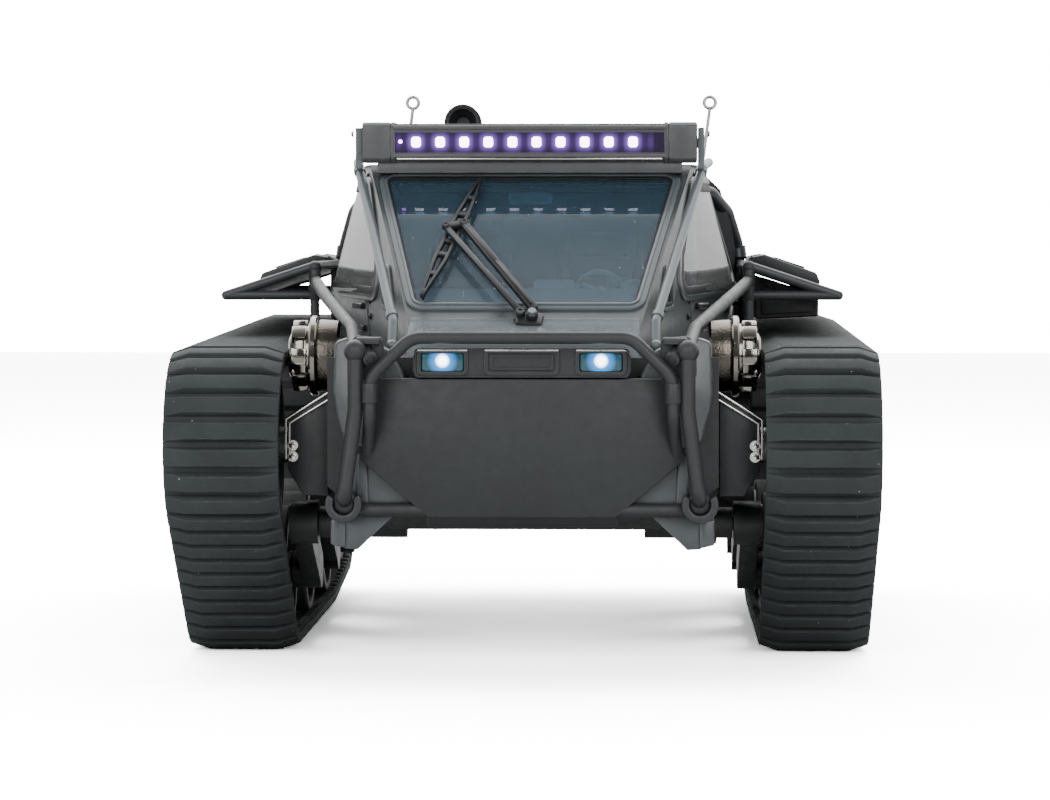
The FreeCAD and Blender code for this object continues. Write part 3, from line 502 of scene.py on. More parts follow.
def make_finishes():
    """Every finish of the car, made once."""
    tone = colours()
    FINISHES.update(
        body=finish("satin gunmetal", tone.body, 0.36, tint=0.08, relief=0.05, coat=0.25, wear=1.5),
        # Body paint lightened 1.9 times: a painted highlight for the windshield frame, its clamps and the
        # pillars.
        body_light=finish("satin gunmetal painted highlight", lighter(tone.body, 1.9), 0.34, tint=0.05, relief=0.04,
                          wear=1.0, coat=0.3),
        # The hood is the body paint lightened 3 times, a painted highlight standing for the light its top
        # reflects.
        hood=finish("hood painted highlight", lighter(tone.body, 3.0), 0.2, tint=0.04, relief=0.02, wear=1.0, coat=1.0),
        armour=finish("matte armour", tone.armour, 0.55, tint=0.10, relief=0.10, wear=2.2),
        tube=finish("satin tube", tone.tube, 0.5, tint=0.12, relief=0.08, wear=2.0),
        rubber=finish("belt rubber", lighter(tone.rubber, 1.7), 0.74, tint=0.16, grain=2600, relief=0.3,
                      wear=1.5, specks=0.05, shine=0.22),
        plastic=finish("moulded black", (0.016, 0.018, 0.020), 0.42, grain=2200, relief=0.18, wear=2.2),
        dull=finish("dull black", (0.012, 0.013, 0.014), 0.6, grain=2200, relief=0.2),
        chrome=finish("smoked chrome", tone.chrome, 0.10, metal=1.0, tint=0.3, spread=0.06, relief=0.2,
                      wear=3.0),
        rough_chrome=finish("cast smoked chrome", (0.10, 0.090, 0.076), 0.26, metal=1.0, tint=0.6, grain=900,
                            relief=0.9, wear=1.5),
        steel=finish("bright steel", (0.62, 0.61, 0.58), 0.2, metal=1.0, tint=0.1, relief=0.1),
        cloth=finish("seat vinyl", (0.05, 0.052, 0.055), 0.6, grain=1800, relief=0.5),
        metal_grey=finish("grey casting", (0.16, 0.165, 0.17), 0.45, metal=0.6, relief=0.3),
        steel_dark=finish("dark steel", (0.22, 0.22, 0.22), 0.3, metal=1.0, tint=0.15, relief=0.15),
        wheel=finish("wheel plastic", (0.030, 0.032, 0.034), 0.5, grain=1800, relief=0.2, wear=2.2,
                     specks=0.02),
        hull=finish("hull plastic", (0.014, 0.016, 0.017), 0.5, grain=1600, relief=0.18),
        bar=finish("light bar housing", (0.058, 0.060, 0.064), 0.42, grain=2000, relief=0.15),
        inside=finish("cabin plastic", (0.16, 0.19, 0.20), 0.55, grain=1800, relief=0.3),
        cowl=finish("satin black cowl", (0.018, 0.021, 0.023), 0.38, relief=0.03, tint=0.08, wear=1.4),
        whip=finish("aerial steel", (0.45, 0.45, 0.45), 0.3, metal=1.0, relief=0.1),
        # Pale metal for the strips over the lamps: a painted highlight along their upper edges.
        brow=finish("painted highlight strip", (0.55, 0.56, 0.56), 0.3, metal=0.8, relief=0.1),
        led=lit_finish("lit LED", (0.86, 0.82, 1.0), 9.0),
        led_small=lit_finish("small violet LED", (0.62, 0.16, 1.0), 14.0),
        fender=finish("fender tube", lighter(tone.tube, 1.5), 0.4, tint=0.12, relief=0.08, wear=1.8),
        battery=finish("battery wrap", (0.03, 0.06, 0.16), 0.35, relief=0.1),
        red=finish("red lamp", (0.35, 0.01, 0.01), 0.15, relief=0.05, coat=0.5),
        glass=glass_finish("windshield glass", tone.glass, dust=0.06, haze=0.35, film=0.08),
        side_glass=glass_finish("side glass", (0.88, 0.90, 0.89), dust=0.02, haze=0.05, film=0.08),
    )


def paint(node, material):
    """Give a frame node a material in place of its own."""
    item = frame["nodes"][node]
    item.data.materials.clear()
    item.data.materials.append(material)


def dress(node, key):
    """Give a frame node one of the finishes."""
    paint(node, FINISHES[key])


# ---------------------------------------------------------------- places read from the frame

def wheel_circle(node, radius=None):
    """Y, Z and belt radius of a wheel of the frame."""
    low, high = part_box(node)
    reach = radius if radius else (high[2] - low[2]) / 2 + sizes().belt_gap
    return (low[1] + high[1]) / 2, (low[2] + high[2]) / 2, reach


def belt_circles(tag):
    """Circles that a belt wraps, in the order it goes round."""
    circles = [wheel_circle(f"idler_wheel_{tag}")]
    circles += [wheel_circle(f"road_wheel_{tag}_{number}") for number in (1, 3, 4)]
    circles.append(wheel_circle(f"drive_sprocket_{tag}", circles[-1][2]))
    return circles


def belt_outline(circles, offset, x):
    """Closed line round a belt at an offset, with as many points at every offset."""
    points = []
    for run in belt_runs(circles, offset):
        if run[0] == "arc":
            steps = max(2, round(run[5] / math.radians(5)))
            angles = [run[4] + run[5] * step / steps for step in range(steps + 1)]
            points += [Vector((x, run[1] + run[3] * math.cos(angle), run[2] + run[3] * math.sin(angle)))
                       for angle in angles]
    return points


def belt_runs(circles, offset):
    """Arcs and straight runs round the circles at an offset."""
    normals = []
    for index, (y, z, radius) in enumerate(circles):
        next_y, next_z, next_radius = circles[(index + 1) % len(circles)]
        gap = math.hypot(next_y - y, next_z - z)
        lean = math.asin((radius - next_radius) / gap)
        normals.append(math.atan2(next_z - z, next_y - y) - math.pi / 2 + lean)
    runs = []
    for index, (y, z, radius) in enumerate(circles):
        begin = normals[index - 1]
        turn = (normals[index] - begin) % (2 * math.pi)
        reach = radius + offset
        runs.append(("arc", y, z, reach, begin, turn, reach * turn))
        next_y, next_z, next_radius = circles[(index + 1) % len(circles)]
        angle = normals[index]
        start = (y + reach * math.cos(angle), z + reach * math.sin(angle))
        far = next_radius + offset
        end = (next_y + far * math.cos(angle), next_z + far * math.sin(angle))
        runs.append(("line", *start, *end, angle, math.dist(start, end)))
    return runs


def belt_point(runs, distance):
    """Y, Z and outward angle at a distance round the belt."""
    left = distance % sum(run[-1] for run in runs)
    for run in runs:
        if left <= run[-1]:
            break
        left -= run[-1]
    if run[0] == "arc":
        angle = run[4] + left / run[3]
        return run[1] + run[3] * math.cos(angle), run[2] + run[3] * math.sin(angle), angle
    share = min(1.0, left / run[-1])
    return run[1] + share * (run[3] - run[1]), run[2] + share * (run[4] - run[2]), run[5]


def belt_matrices(circles, offset, count, x):
    """Places round the belt: X across it, Y along it and Z out of it."""
    runs = belt_runs(circles, offset)
    length = sum(run[-1] for run in runs)
    places = []
    for index in range(count):
        y, z, angle = belt_point(runs, length * index / count)
        out = Vector((0, math.cos(angle), math.sin(angle)))
        along = Vector((0, -math.sin(angle), math.cos(angle)))
        turn = Matrix((Vector((1, 0, 0)), along, out)).transposed().to_4x4()
        places.append(Matrix.Translation((x, y, z)) @ turn)
    return places


SCREEN_FOOT = (0.0, -144.0, 138.0)
SCREEN_HEAD = (0.0, -79.0, 192.5)
SCREEN_HALF = (43.0, 60.5)
SCREEN_LENGTH = math.dist(SCREEN_FOOT, SCREEN_HEAD)


def screen_plane():
    """Plane of the windshield: across, up the glass and off it, from the middle of its foot."""
    slope = math.atan2(SCREEN_HEAD[2] - SCREEN_FOOT[2], SCREEN_HEAD[1] - SCREEN_FOOT[1])
    return Matrix.Translation(mm(*SCREEN_FOOT)) @ Matrix.Rotation(slope, 4, "X")


def facing_front(y):
    """Plane that faces the front at a Y: across, up, and height towards the front."""
    return Matrix(((1, 0, 0, 0), (0, 0, -1, y * MM), (0, 1, 0, 0), (0, 0, 0, 1)))


def facing_left(x):
    """Plane that faces the car's left at an X: rearward, up, and height to the left."""
    return Matrix(((0, 0, 1, x * MM), (1, 0, 0, 0), (0, 1, 0, 0), (0, 0, 0, 1)))


def facing_up(z):
    """Level plane at a Z: across, rearward, and height upwards."""
    return Matrix.Translation(mm(0, 0, z))


def on_plane(plane, points, height=0.0):
    """Points across and up a plane, at a height off it, in millimetres."""
    return [plane @ mm(across, up, height) for across, up in points]


def lift(plane, distance):
    """Vector off a plane."""
    return plane.to_3x3() @ mm(0, 0, distance)


def plane_slab(plane, points, low, high, edge=0.4, round_by=0.0, segments=2):
    """Flat outline on a plane, filled from one height to another."""
    line = on_plane(plane, points, low)
    if round_by:
        line = rounded(line, round_by * MM, closed=True)
    return slab(line, lift(plane, high - low), edge * MM, segments)


def plane_frame(plane, points, out, inward, low, high, round_by=2.0, edge=0.3):
    """Raised frame that follows an outline on a plane, from out outside it to inward inside it."""
    loops = []
    for distance, radius in ((out, round_by + out), (-inward, max(0.4, round_by - inward))):
        loops.append(rounded(on_plane(plane, grown(points, distance), low), radius * MM, closed=True))
    return ring_slab(*loops, lift(plane, high - low), edge * MM)


def oblong(x, y, width, height):
    """Corners of a rectangle about a centre."""
    return [(x - width / 2, y - height / 2), (x + width / 2, y - height / 2),
            (x + width / 2, y + height / 2), (x - width / 2, y + height / 2)]


def arc(x, y, radius, start, end, steps=16):
    """Points on an arc, in degrees."""
    angles = [math.radians(start + (end - start) * step / steps) for step in range(steps + 1)]
    return [(x + radius * math.cos(angle), y + radius * math.sin(angle)) for angle in angles]


def wiper_plane():
    """Plane of the wiper: across, up the glass and off it, from its pivot."""
    joint = JOINTS["wiper_sweep"]
    off = Vector(joint["axis"]).normalized()
    up = off.cross(Vector((1, 0, 0)))
    turn = Matrix((Vector((1, 0, 0)), up, off)).transposed().to_4x4()
    return Matrix.Translation(joint["pos_m"]) @ turn


# Per level: its height, the X and Y of the front corner, the X of the shoulder and the X of the rear corner.
CABIN_LEVELS = (
    (119.0, 40.9, -166.7, 78.0, 84.0),
    (144.0, 48.9, -136.8, 83.0, 86.0),
    (194.0, 65.0, -77.2, 70.0, 71.0),
)
SHOULDER_Y = -44.0
CABIN_REAR = 64.0


def cabin_side(y, z, off=0.0):
    """Point on the left wall of the cabin at a Y and a height, all in millimetres."""
    lower, upper = CABIN_LEVELS[:2] if z < CABIN_LEVELS[1][0] else CABIN_LEVELS[1:]
    share = (z - lower[0]) / (upper[0] - lower[0])
    front_x, front_y, shoulder, rear = (a + share * (b - a) for a, b in zip(lower[1:], upper[1:]))
    if y < SHOULDER_Y:
        x = front_x + (shoulder - front_x) * (y - front_y) / (SHOULDER_Y - front_y)
    else:
        x = shoulder + (rear - shoulder) * (y - SHOULDER_Y) / (CABIN_REAR - SHOULDER_Y)
    return mm(x + off, y, z)


def grown(points, distance):
    """Closed outline in a plane moved outwards by a distance (inwards when negative)."""
    result = []
    count = len(points)
    middle = sum((Vector(point) for point in points), Vector((0,) * len(points[0]))) / count
    for index in range(count):
        before, here, after = (Vector(points[(index + k) % count]) for k in (-1, 0, 1))
        one = (here - before).normalized()
        two = (after - here).normalized()
        mitre = (one + two).normalized()
        normal = Vector((mitre.y, -mitre.x))
        if normal.dot(here - middle) < 0:
            normal.negate()
        cosine = max(0.35, abs(normal.dot(Vector((one.y, -one.x)))))
        result.append(here + normal * (distance / cosine))
    return result


# ---------------------------------------------------------------- running gear

BELT_IN, BELT_OUT = 91.5, 135.0


def belt_parts(tag):
    """Carrier, cross lugs and edge teeth of one belt."""
    size = sizes()
    sign = 1 if tag == "L" else -1
    circles = belt_circles(tag)
    near, far = sorted((sign * BELT_IN * MM, sign * BELT_OUT * MM))
    outside, inside = (belt_outline(circles, offset, near) for offset in (size.belt_thick, 0))
    band = ring_slab(outside, inside, Vector((far - near, 0, 0)), 0.5 * MM)
    count = round(sum(run[-1] for run in belt_runs(circles, size.belt_thick)) / size.lug_pitch)
    half = (far - near) / 2
    flat = half - size.lug_taper
    length = 7.4 * MM
    sunk = 0.4 * MM
    profile = [(-half, -length / 2, -sunk), (half, -length / 2, -sunk), (half, -length / 2, 0.5 * MM),
               (flat, -length / 2, size.lug_height), (-flat, -length / 2, size.lug_height),
               (-half, -length / 2, 0.5 * MM)]
    lug = slab([Vector(point) for point in profile], Vector((0, length, 0)), 0)
    for spot in lug.verts:
        if spot.co.z > MM:
            spot.co.y *= 0.86
    softened(lug, 0.45 * MM, 3)
    middle = (near + far) / 2
    lugs = repeated(lug, belt_matrices(circles, size.belt_thick, count, middle))
    teeth = []
    for edge in (-1, 1):
        tooth = block((-1.4 * MM, -2.6 * MM, -2.6 * MM), (1.4 * MM, 2.6 * MM, 0.4 * MM), 0.5 * MM)
        places = belt_matrices(circles, 0, count, middle + edge * (half - 1.7 * MM))
        teeth.append(repeated(tooth, places))
    return [band, lugs, *teeth]


class CAR_OT_belts(bpy.types.Operator):
    """Rubber belts with cross lugs and edge teeth"""

    bl_idname = "tracked_car.belts"
    bl_label = "Belts"

    def execute(self, context):
        for tag, _ in SIDES:
            piece(f"belt_{tag}", belt_parts(tag), FINISHES["rubber"], "chassis", 40,
                  [f"track_belt_{tag}"])
        return {"FINISHED"}


def wheel_dressing(node, cap_radius, bolts, ring_radius, sign):
    """Rim ring of one wheel, and its cap, nut and bolts."""
    low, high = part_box(node)
    centre = (low + high) / 2
    reach = (high[2] - low[2]) / 2 / MM
    out = Vector((sign, 0, 0))
    face = Vector((high[0] if sign > 0 else low[0], centre[1], centre[2]))
    cap = turned([(-1.0, 0), (-1.0, cap_radius), (0.8, cap_radius), (1.6, cap_radius * 0.86),
                  (1.8, cap_radius * 0.5), (1.2, cap_radius * 0.42), (1.2, 0)], face, out)
    nut = rod(face + out * 1.0 * MM, face + out * 2.4 * MM, cap_radius * 0.4 * MM, steps=6, edge=0.2 * MM)
    dark = [turned([(-3.2, reach - 6), (0.5, reach - 4.4), (0.9, reach - 3.0), (0.4, reach - 1.4),
                    (-1.6, reach - 1.2)], face, out)]
    bright = [cap, nut]
    for index in range(bolts):
        angle = 2 * math.pi * (index + 0.5) / bolts
        spot = face + Vector((0, math.cos(angle), math.sin(angle))) * ring_radius * MM
        bright.append(bolt(spot - out * 0.1 * MM, out, 1.0 * MM, 0.9 * MM))
    return dark, bright


class CAR_OT_wheels(bpy.types.Operator):
    """Hub caps, bolts and rim rings of the road wheels, idlers and sprockets"""

    bl_idname = "tracked_car.wheels"
    bl_label = "Wheels"

    def execute(self, context):
        for tag, sign in SIDES:
            jobs = [(f"road_wheel_{tag}_{n}", f"wheel_{tag}_{n}", 5.4, 6, 6.2, "wheel") for n in ROAD_WHEELS]
            jobs.append((f"idler_wheel_{tag}", f"idler_{tag}", 5.8, 6, 6.4, "wheel"))
            jobs.append((f"drive_sprocket_{tag}", f"sprocket_{tag}", 5.6, 5, 6.3, "sprocket"))
            for node, body, cap, bolts, ring, slot in jobs:
                dark, bright = wheel_dressing(node, cap, bolts, ring, sign)
                piece(f"{node}_rim", dark, FINISHES["tube"], body)
                piece(f"{node}_cap", bright, FINISHES["steel_dark"], body)
                dress(node, "wheel")
        return {"FINISHED"}


class CAR_OT_arms(bpy.types.Operator):
    """Bolts and ribs on the swing arms"""

    bl_idname = "tracked_car.arms"
    bl_label = "Swing arms"

    def execute(self, context):
        for tag, sign in SIDES:
            out = Vector((sign, 0, 0))
            for number in ROAD_WHEELS:
                node = f"swing_arm_{tag}_{number}"
                pivot = Vector(JOINTS[f"arm_swing_{tag}_{number}"]["pos_m"])
                axle = Vector(JOINTS[f"wheel_spin_{tag}_{number}"]["pos_m"])
                face = sign * 91.0 * MM
                hub = Vector((face, pivot.y, pivot.z))
                cap = turned([(0, 7.4), (0.7, 7.0), (0.7, 4.6), (0.1, 4.2)], hub, out)
                start = Vector((sign * 90 * MM, pivot.y, pivot.z))
                end = Vector((sign * 90 * MM, axle.y, axle.z))
                along = (end - start).normalized()
                across = out.cross(along)
                inset = along * 9 * MM
                rib = [start + inset + across * 2.2 * MM, start + inset - across * 2.2 * MM,
                       end - inset - across * 1.6 * MM, end - inset + across * 1.6 * MM]
                parts = [cap, slab(rib, out * 0.8 * MM, 0.3 * MM)]
                piece(f"{node}_detail", parts, FINISHES["metal_grey"], f"arm_{tag}_{number}")
                dress(node, "plastic")
        return {"FINISHED"}


IDLER_Y, IDLER_Z = -156.0, 85.0
HUB_Y, HUB_Z = -154.0, 119.0


def mount_plate():
    """Joggled side plate of the left idler, and its edge strips."""
    plane = facing_front(-140)
    path = [(74.4, 66), (74.4, 105), (90, 95), (90, 76), (84, 66)]
    plate = plane_slab(plane, path, 0, 28, 0.7)
    lips = []
    for shift in (0.0, 2.4):
        line = [(73.4 - shift * 0.3, 106 - shift), (90.6 - shift * 0.6, 95.2 - shift * 0.6),
                (90.6 - shift * 0.6, 80)]
        lips.append(pipe(on_plane(facing_front(-168.6), line), 0.5 * MM, 0.8 * MM))
    return plate, lips


def hub_parts():
    """Chromed hub above the left idler: inward cone, flange ring and notched nut."""
    centre = mm(0, HUB_Y, HUB_Z)
    axis = (1, 0, 0)

    def ring(pairs):
        return turned(pairs, centre, axis, 60)

    cone = ring([(70.4, 0), (70.4, 12.6), (71.4, 13.6), (78.2, 14.0), (79.2, 13.6), (79.2, 0)])
    flange = ring([(79.2, 0), (79.2, 15.0), (79.8, 15.5), (81.4, 15.5), (82.0, 15.0), (82.0, 0)])
    collar = ring([(81.8, 12.6), (83.2, 12.4), (83.6, 11.6), (83.6, 0)])
    nut = rod(centre + mm(83.4, 0, 0), centre + mm(88.0, 0, 0), 12.4 * MM, 11.6 * MM, 12, 0.5 * MM)
    cap = ring([(87.8, 9.2), (89.6, 8.6), (90.4, 7.0), (90.4, 0)])
    lugs = []
    for index in range(8):
        turn = Matrix.Translation(centre) @ Matrix.Rotation(math.pi * index / 4, 4, "X")
        tab = block((83.0 * MM, -3.1 * MM, 9.6 * MM), (88.8 * MM, 3.1 * MM, 13.6 * MM), 0.6 * MM)
        lugs.append(moved(tab, turn))
    return [cone], [flange, collar, nut, cap, *lugs]


class CAR_OT_idler_mounts(bpy.types.Operator):
    """Idler carriers with their chromed hubs"""

    bl_idname = "tracked_car.idler_mounts"
    bl_label = "Idler mounts"

    def execute(self, context):
        pair("idler_plate", lambda: [mount_plate()[0]], FINISHES["plastic"], slot="dark_chrome")
        pair("idler_lips", lambda: mount_plate()[1], FINISHES["steel"], slot="dark_chrome")
        pair("hub_cone", lambda: hub_parts()[0], FINISHES["rough_chrome"], slot="dark_chrome")
        pair("hub_nut", lambda: hub_parts()[1], FINISHES["chrome"], slot="dark_chrome", smooth=25)
        pair("idler_axle", idler_axle, FINISHES["steel_dark"], slot="dark_chrome",
             stands_for=["idler_mount_{}"])
        pair("mount_bolts", mount_bolts, FINISHES["steel"], slot="dark_chrome")
        return {"FINISHED"}


def idler_axle():
    """Axle of the left idler with its spacer."""
    centre = mm(0, IDLER_Y, IDLER_Z)
    spacer = turned([(88.6, 0), (88.6, 7), (94.2, 7), (94.2, 0)], centre, (1, 0, 0))
    shaft = rod(centre + mm(94, 0, 0), centre + mm(132.3, 0, 0), 3 * MM, edge=0.4 * MM)
    return [spacer, shaft]


def mount_bolts():
    """Bolts on the face of the left idler carrier."""
    spots = [(88.0, 81.0), (88.0, 85.2)]
    return [bolt(point, (0, -1, 0), 1.5 * MM, 1.3 * MM) for point in on_plane(facing_front(-168.2), spots)]


# ---------------------------------------------------------------- nose

def cheek_parts():
    """Smooth panel beside the left of the armour plate, with the horn, foot, wedge and strip under it."""
    outline = [(44, 112), (50, 122), (64, 127.4), (71.4, 125), (71.8, 106), (70.6, 99), (67.4, 87), (56, 84)]
    panel = plane_slab(facing_front(-174), outline, 0, 9.5, 1.2, 3.0, 3)
    for spot in panel.verts:
        spot.co.y += max(0.0, spot.co.x - 60 * MM) * 0.25 + max(0.0, spot.co.z - 112 * MM) * 0.3
    horn = plane_slab(facing_front(-172), [(48.6, 59.4), (67.4, 59.4), (67.4, 47), (62.2, 46.6)], 0, 11, 0.5)
    corners = [(66.6, 47.2), (66.6, 59.4), (72.4, 58), (72.4, 48.6)]
    foot = plane_slab(facing_front(-170), corners, 0, 14.2, 0.9, 1.0)
    wedge = plane_slab(facing_front(-178), [(37, 60), (58, 80), (63, 82), (66, 60)], 0, 5.6, 0.5)
    corners = [(57.6, 62), (58.4, 81), (62.4, 83.6), (62.4, 62)]
    strip = plane_slab(facing_front(-178), corners, 0, 7.0, 0.8, 0.8, 3)
    return [panel, horn, foot, wedge, strip]


def armour_face():
    """Faceted plate across the nose and the lip folded back under it."""
    half = [(-54, 111.4), (-61, 81), (-40, 63.4), (-35, 59.4)]
    line = half + [(-x, z) for x, z in reversed(half)]
    face = plane_slab(facing_front(-178), line, 0, 11, 0.5)
    corners = [(-51, 109.4), (51, 109.4), (50.4, 111.6), (-50.4, 111.6)]
    rim = plane_slab(facing_front(-186), corners, -0.6, 1.2, 0.4)
    corners = [(-188.4, 59.8), (-178, 59.8), (-178, 55.2), (-184, 55.4)]
    lip = plane_slab(facing_left(-36), corners, 0, 72, 0.6)
    return [face, rim, lip]


def cross_tube():
    """Left half of the tube that runs behind the foot of the armour plate."""
    return [rod(mm(33, -186.3, 62), mm(66, -186.3, 62), 2.6 * MM, edge=0.8 * MM)]


def bull_bar_line():
    """Centre line of the nose tube from its left foot to its right one."""
    half = [mm(58.2, -186.6, 82), mm(56.6, -196.5, 98), mm(56.6, -196.5, 112), mm(41, -196.5, 127)]
    return half + [Vector((-spot.x, spot.y, spot.z)) for spot in reversed(half)]


def bull_bar_sleeve():
    """Thicker sleeve round the left upright of the nose tube."""
    return [rod(mm(56.6, -196.5, 102.6), mm(56.6, -196.5, 110), 3.1 * MM, edge=0.3 * MM)]


def fork_dressing():
    """Clip, socket, knuckle block and bored stub of the left nose fork."""
    plane = facing_front(-186.6)
    clip_line = arc(66.8, 64.4, 6.9, 148, 392, 22) + list(reversed(arc(66.8, 64.4, 4.0, 150, 390, 22)))
    clip = plane_slab(plane, clip_line, 0, 7.0, 0.7)
    profile = [(0, 0), (0, 4.4), (4.0, 4.2), (4.6, 3.2), (4.6, 0)]
    socket = turned(profile, mm(66.5, -187.0, 65), (0, -1, 0), 32)
    corners = [(51.6, 118), (52.2, 126.6), (62.4, 127.6), (65.4, 124), (65.4, 112), (60.6, 110.4)]
    head = plane_slab(facing_front(-184.6), corners, 0, 6.6, 1.0, 1.5, 3)
    corners = [(52.6, -196), (61.4, -196), (63.6, -182), (52.6, -182)]
    top = plane_slab(facing_up(124.4), corners, 0, 2.6, 0.7, 1.0)
    tip = mm(56.2, -197.4, 118.8)
    stub = rod(mm(60.4, -186.4, 124.6), tip, 2.9 * MM, 2.7 * MM, edge=0.5 * MM)
    bore = turned([(0, 1.7), (0.3, 1.5), (-0.9, 1.3), (-0.9, 0)], tip, (-4.2, -11, -5.8), 24)
    return [clip, socket, head, top, stub, bore]


class CAR_OT_nose(bpy.types.Operator):
    """Cheeks, armour plate, nose tubes and their clips"""

    bl_idname = "tracked_car.nose"
    bl_label = "Nose"

    def execute(self, context):
        pair("nose_cheek", cheek_parts, FINISHES["body"], slot="body")
        piece("armour_face", armour_face(), FINISHES["armour"], stands_for=["armour_plate"])
        pair("cross_tube", cross_tube, FINISHES["tube"], slot="tube")
        piece("bull_bar_tube", [pipe(bull_bar_line(), 2.4 * MM, 10 * MM)], FINISHES["tube"],
              stands_for=["bull_bar"])
        pair("bull_bar_sleeve", bull_bar_sleeve, FINISHES["tube"], slot="tube")
        pair("fork_clip", fork_dressing, FINISHES["tube"], slot="tube")
        # The hood gets the body paint lightened into a painted highlight.
        dress("hood", "hood")
        dress("lamp_housing", "plastic")
        for tag, _ in SIDES:
            dress(f"fork_{tag}", "tube")
        return {"FINISHED"}


HEAD_X, HEAD_Z = 29.7, 117.6
LAMP_FACE = -190.0


def lamp_frames():
    """Frames round the lamps and the centre panel."""
    plane = facing_front(LAMP_FACE)
    parts = []
    for x, width in ((HEAD_X, 17.4), (-HEAD_X, 17.4), (0, 26.4)):
        parts.append(plane_frame(plane, oblong(x, HEAD_Z, width, 8.0), 1.0, 0.6, -0.4, 0.9, 1.4, 0.25))
    parts.append(plane_frame(plane, oblong(0, HEAD_Z, 22.6, 4.8), 0.5, 0.5, -0.2, 0.5, 0.8, 0.15))
    parts.append(plane_frame(plane, oblong(0, 117.4, 80.6, 11.0), 0.0, 0.7, -0.5, 0.35, 1.6, 0.15))
    return parts


def lamp_highlight_strips():
    """Bright strips over the lamps and the centre panel: painted highlights standing for the light along
    their upper edges.
    """
    plane = facing_front(LAMP_FACE - 0.9)
    return [plane_slab(plane, oblong(x, HEAD_Z + 4.5, width, 0.5), -0.3, 0.35, 0.1)
            for x, width in ((HEAD_X, 18.6), (-HEAD_X, 18.6), (0, 27.6))]


class CAR_OT_lamps(bpy.types.Operator):
    """Lamp strip: frames, bright strips of painted highlight over them and lit lenses"""

    bl_idname = "tracked_car.lamps"
    bl_label = "Nose lamps"

    def execute(self, context):
        piece("lamp_frames", lamp_frames(), FINISHES["plastic"])
        # Bright strips over the lamps: painted highlights along their upper edges.
        piece("lamp_highlight_strips", lamp_highlight_strips(), FINISHES["brow"])
        for tag, sign in SIDES:
            plane = facing_front(LAMP_FACE)
            corners = oblong(sign * HEAD_X, HEAD_Z, 15.6, 6.6)
            lens = plane_slab(plane, corners, -3.5, 0.75, 0.5, 1.2, 3)
            centre = plane @ mm(sign * HEAD_X, HEAD_Z + 0.6, 0.7)
            glow = glow_finish(f"head lamp {tag}", centre, 9 * MM, (4.4, 5.0, 5.6), (0.05, 0.32, 0.95),
                               (0.0, 0.020, 0.030), 1.5)
            piece(f"head_lens_{tag}", [lens], glow, stands_for=[f"headlight_{tag}"])
        return {"FINISHED"}


# ---------------------------------------------------------------- windshield and pillars

def screen_outline():
    """Corners of the windshield opening."""
    length = SCREEN_LENGTH - 6
    low, high = SCREEN_HALF
    return [(-low, 0), (low, 0), (high - 2, length), (-high + 2, length)]


def screen_frames():
    """Body-coloured double frame round the windshield; it is given the body paint lightened into a painted
    highlight.
    """
    plane = screen_plane()
    outline = screen_outline()
    return [plane_frame(plane, outline, 2.9, 0.2, -1.0, 1.1, 4.0, 0.5),
            plane_frame(plane, outline, 0.9, 0.4, -1.0, 1.7, 4.0, 0.4)]


def screen_gasket():
    """Dark seal inside the windshield frame."""
    plane = screen_plane()
    return [plane_frame(plane, screen_outline(), 0.2, 1.4, -1.0, 0.9, 4.0, 0.35),
            plane_slab(plane, [(-55, SCREEN_LENGTH - 8.6), (55, SCREEN_LENGTH - 8.6),
                               (56, SCREEN_LENGTH - 5.6), (-56, SCREEN_LENGTH - 5.6)], -2.6, -1.6, 0.2)]


def pillar_parts():
    """Rounded foot and clamps of the left windshield tube."""
    foot = ball(mm(50.2, -166, 123.2), 2.3 * MM, 20)
    low = mm(50.2, -158, 132)
    high = mm(69.4, -79, 193)
    axis = (high - low).normalized()
    band = [(-1.3, 2.0), (-1.1, 2.4), (1.1, 2.4), (1.3, 2.0)]
    return [foot, *[turned(band, low.lerp(high, share), axis, 28) for share in (0.04, 0.97)]]


class CAR_OT_windshield(bpy.types.Operator):
    """Windshield frame, seal, glass and side tubes"""

    bl_idname = "tracked_car.windshield"
    bl_label = "Windshield"

    def execute(self, context):
        # The frame, clamps and pillars get the body paint lightened into a painted highlight.
        piece("screen_frame", screen_frames(), FINISHES["body_light"])
        piece("screen_gasket", screen_gasket(), FINISHES["dull"])
        pair("pillar_clamps", pillar_parts, FINISHES["body_light"], slot="tube")
        dress("windshield", "glass")
        for tag, _ in SIDES:
            dress(f"a_pillar_{tag}", "body_light")
        return {"FINISHED"}


def wiper_blade_parts():
    """Ladder-like blade with tapering ends, its rubber lip and the joint screws."""
    plane = wiper_plane()
    low, high = Vector((-43, 14)), Vector((-22.5, 86))
    along = (high - low).normalized()
    side = Vector((-along.y, along.x))
    span = (high - low).length

    def spot(share, across):
        point = low + along * span * share + side * across
        return (point.x, point.y)

    outer = [spot(0, -0.8), spot(0.3, -2.8), spot(0.7, -2.8), spot(1, -0.8),
             spot(1, 0.8), spot(0.7, 2.8), spot(0.3, 2.8), spot(0, 0.8)]
    inner = [spot(0.05, -0.2), spot(0.3, -1.5), spot(0.7, -1.5), spot(0.95, -0.2),
             spot(0.95, 0.2), spot(0.7, 1.5), spot(0.3, 1.5), spot(0.05, 0.2)]
    rails = ring_slab(on_plane(plane, outer, 2.9), on_plane(plane, inner, 2.9), lift(plane, 2.2), 0.25 * MM)
    bars = []
    for share in (0.17, 0.33, 0.44, 0.56, 0.67, 0.81):
        corners = [spot(share, -1.6), spot(share + 0.03, -1.6), spot(share + 0.03, 1.6), spot(share, 1.6)]
        bars.append(plane_slab(plane, corners, 3.0, 4.9, 0.2))
    lip = plane_slab(plane, [spot(0.01, -0.35), spot(0.99, -0.35), spot(0.99, 0.35), spot(0.01, 0.35)],
                     1.2, 3.1, 0.1)
    return [rails, lip, *bars]


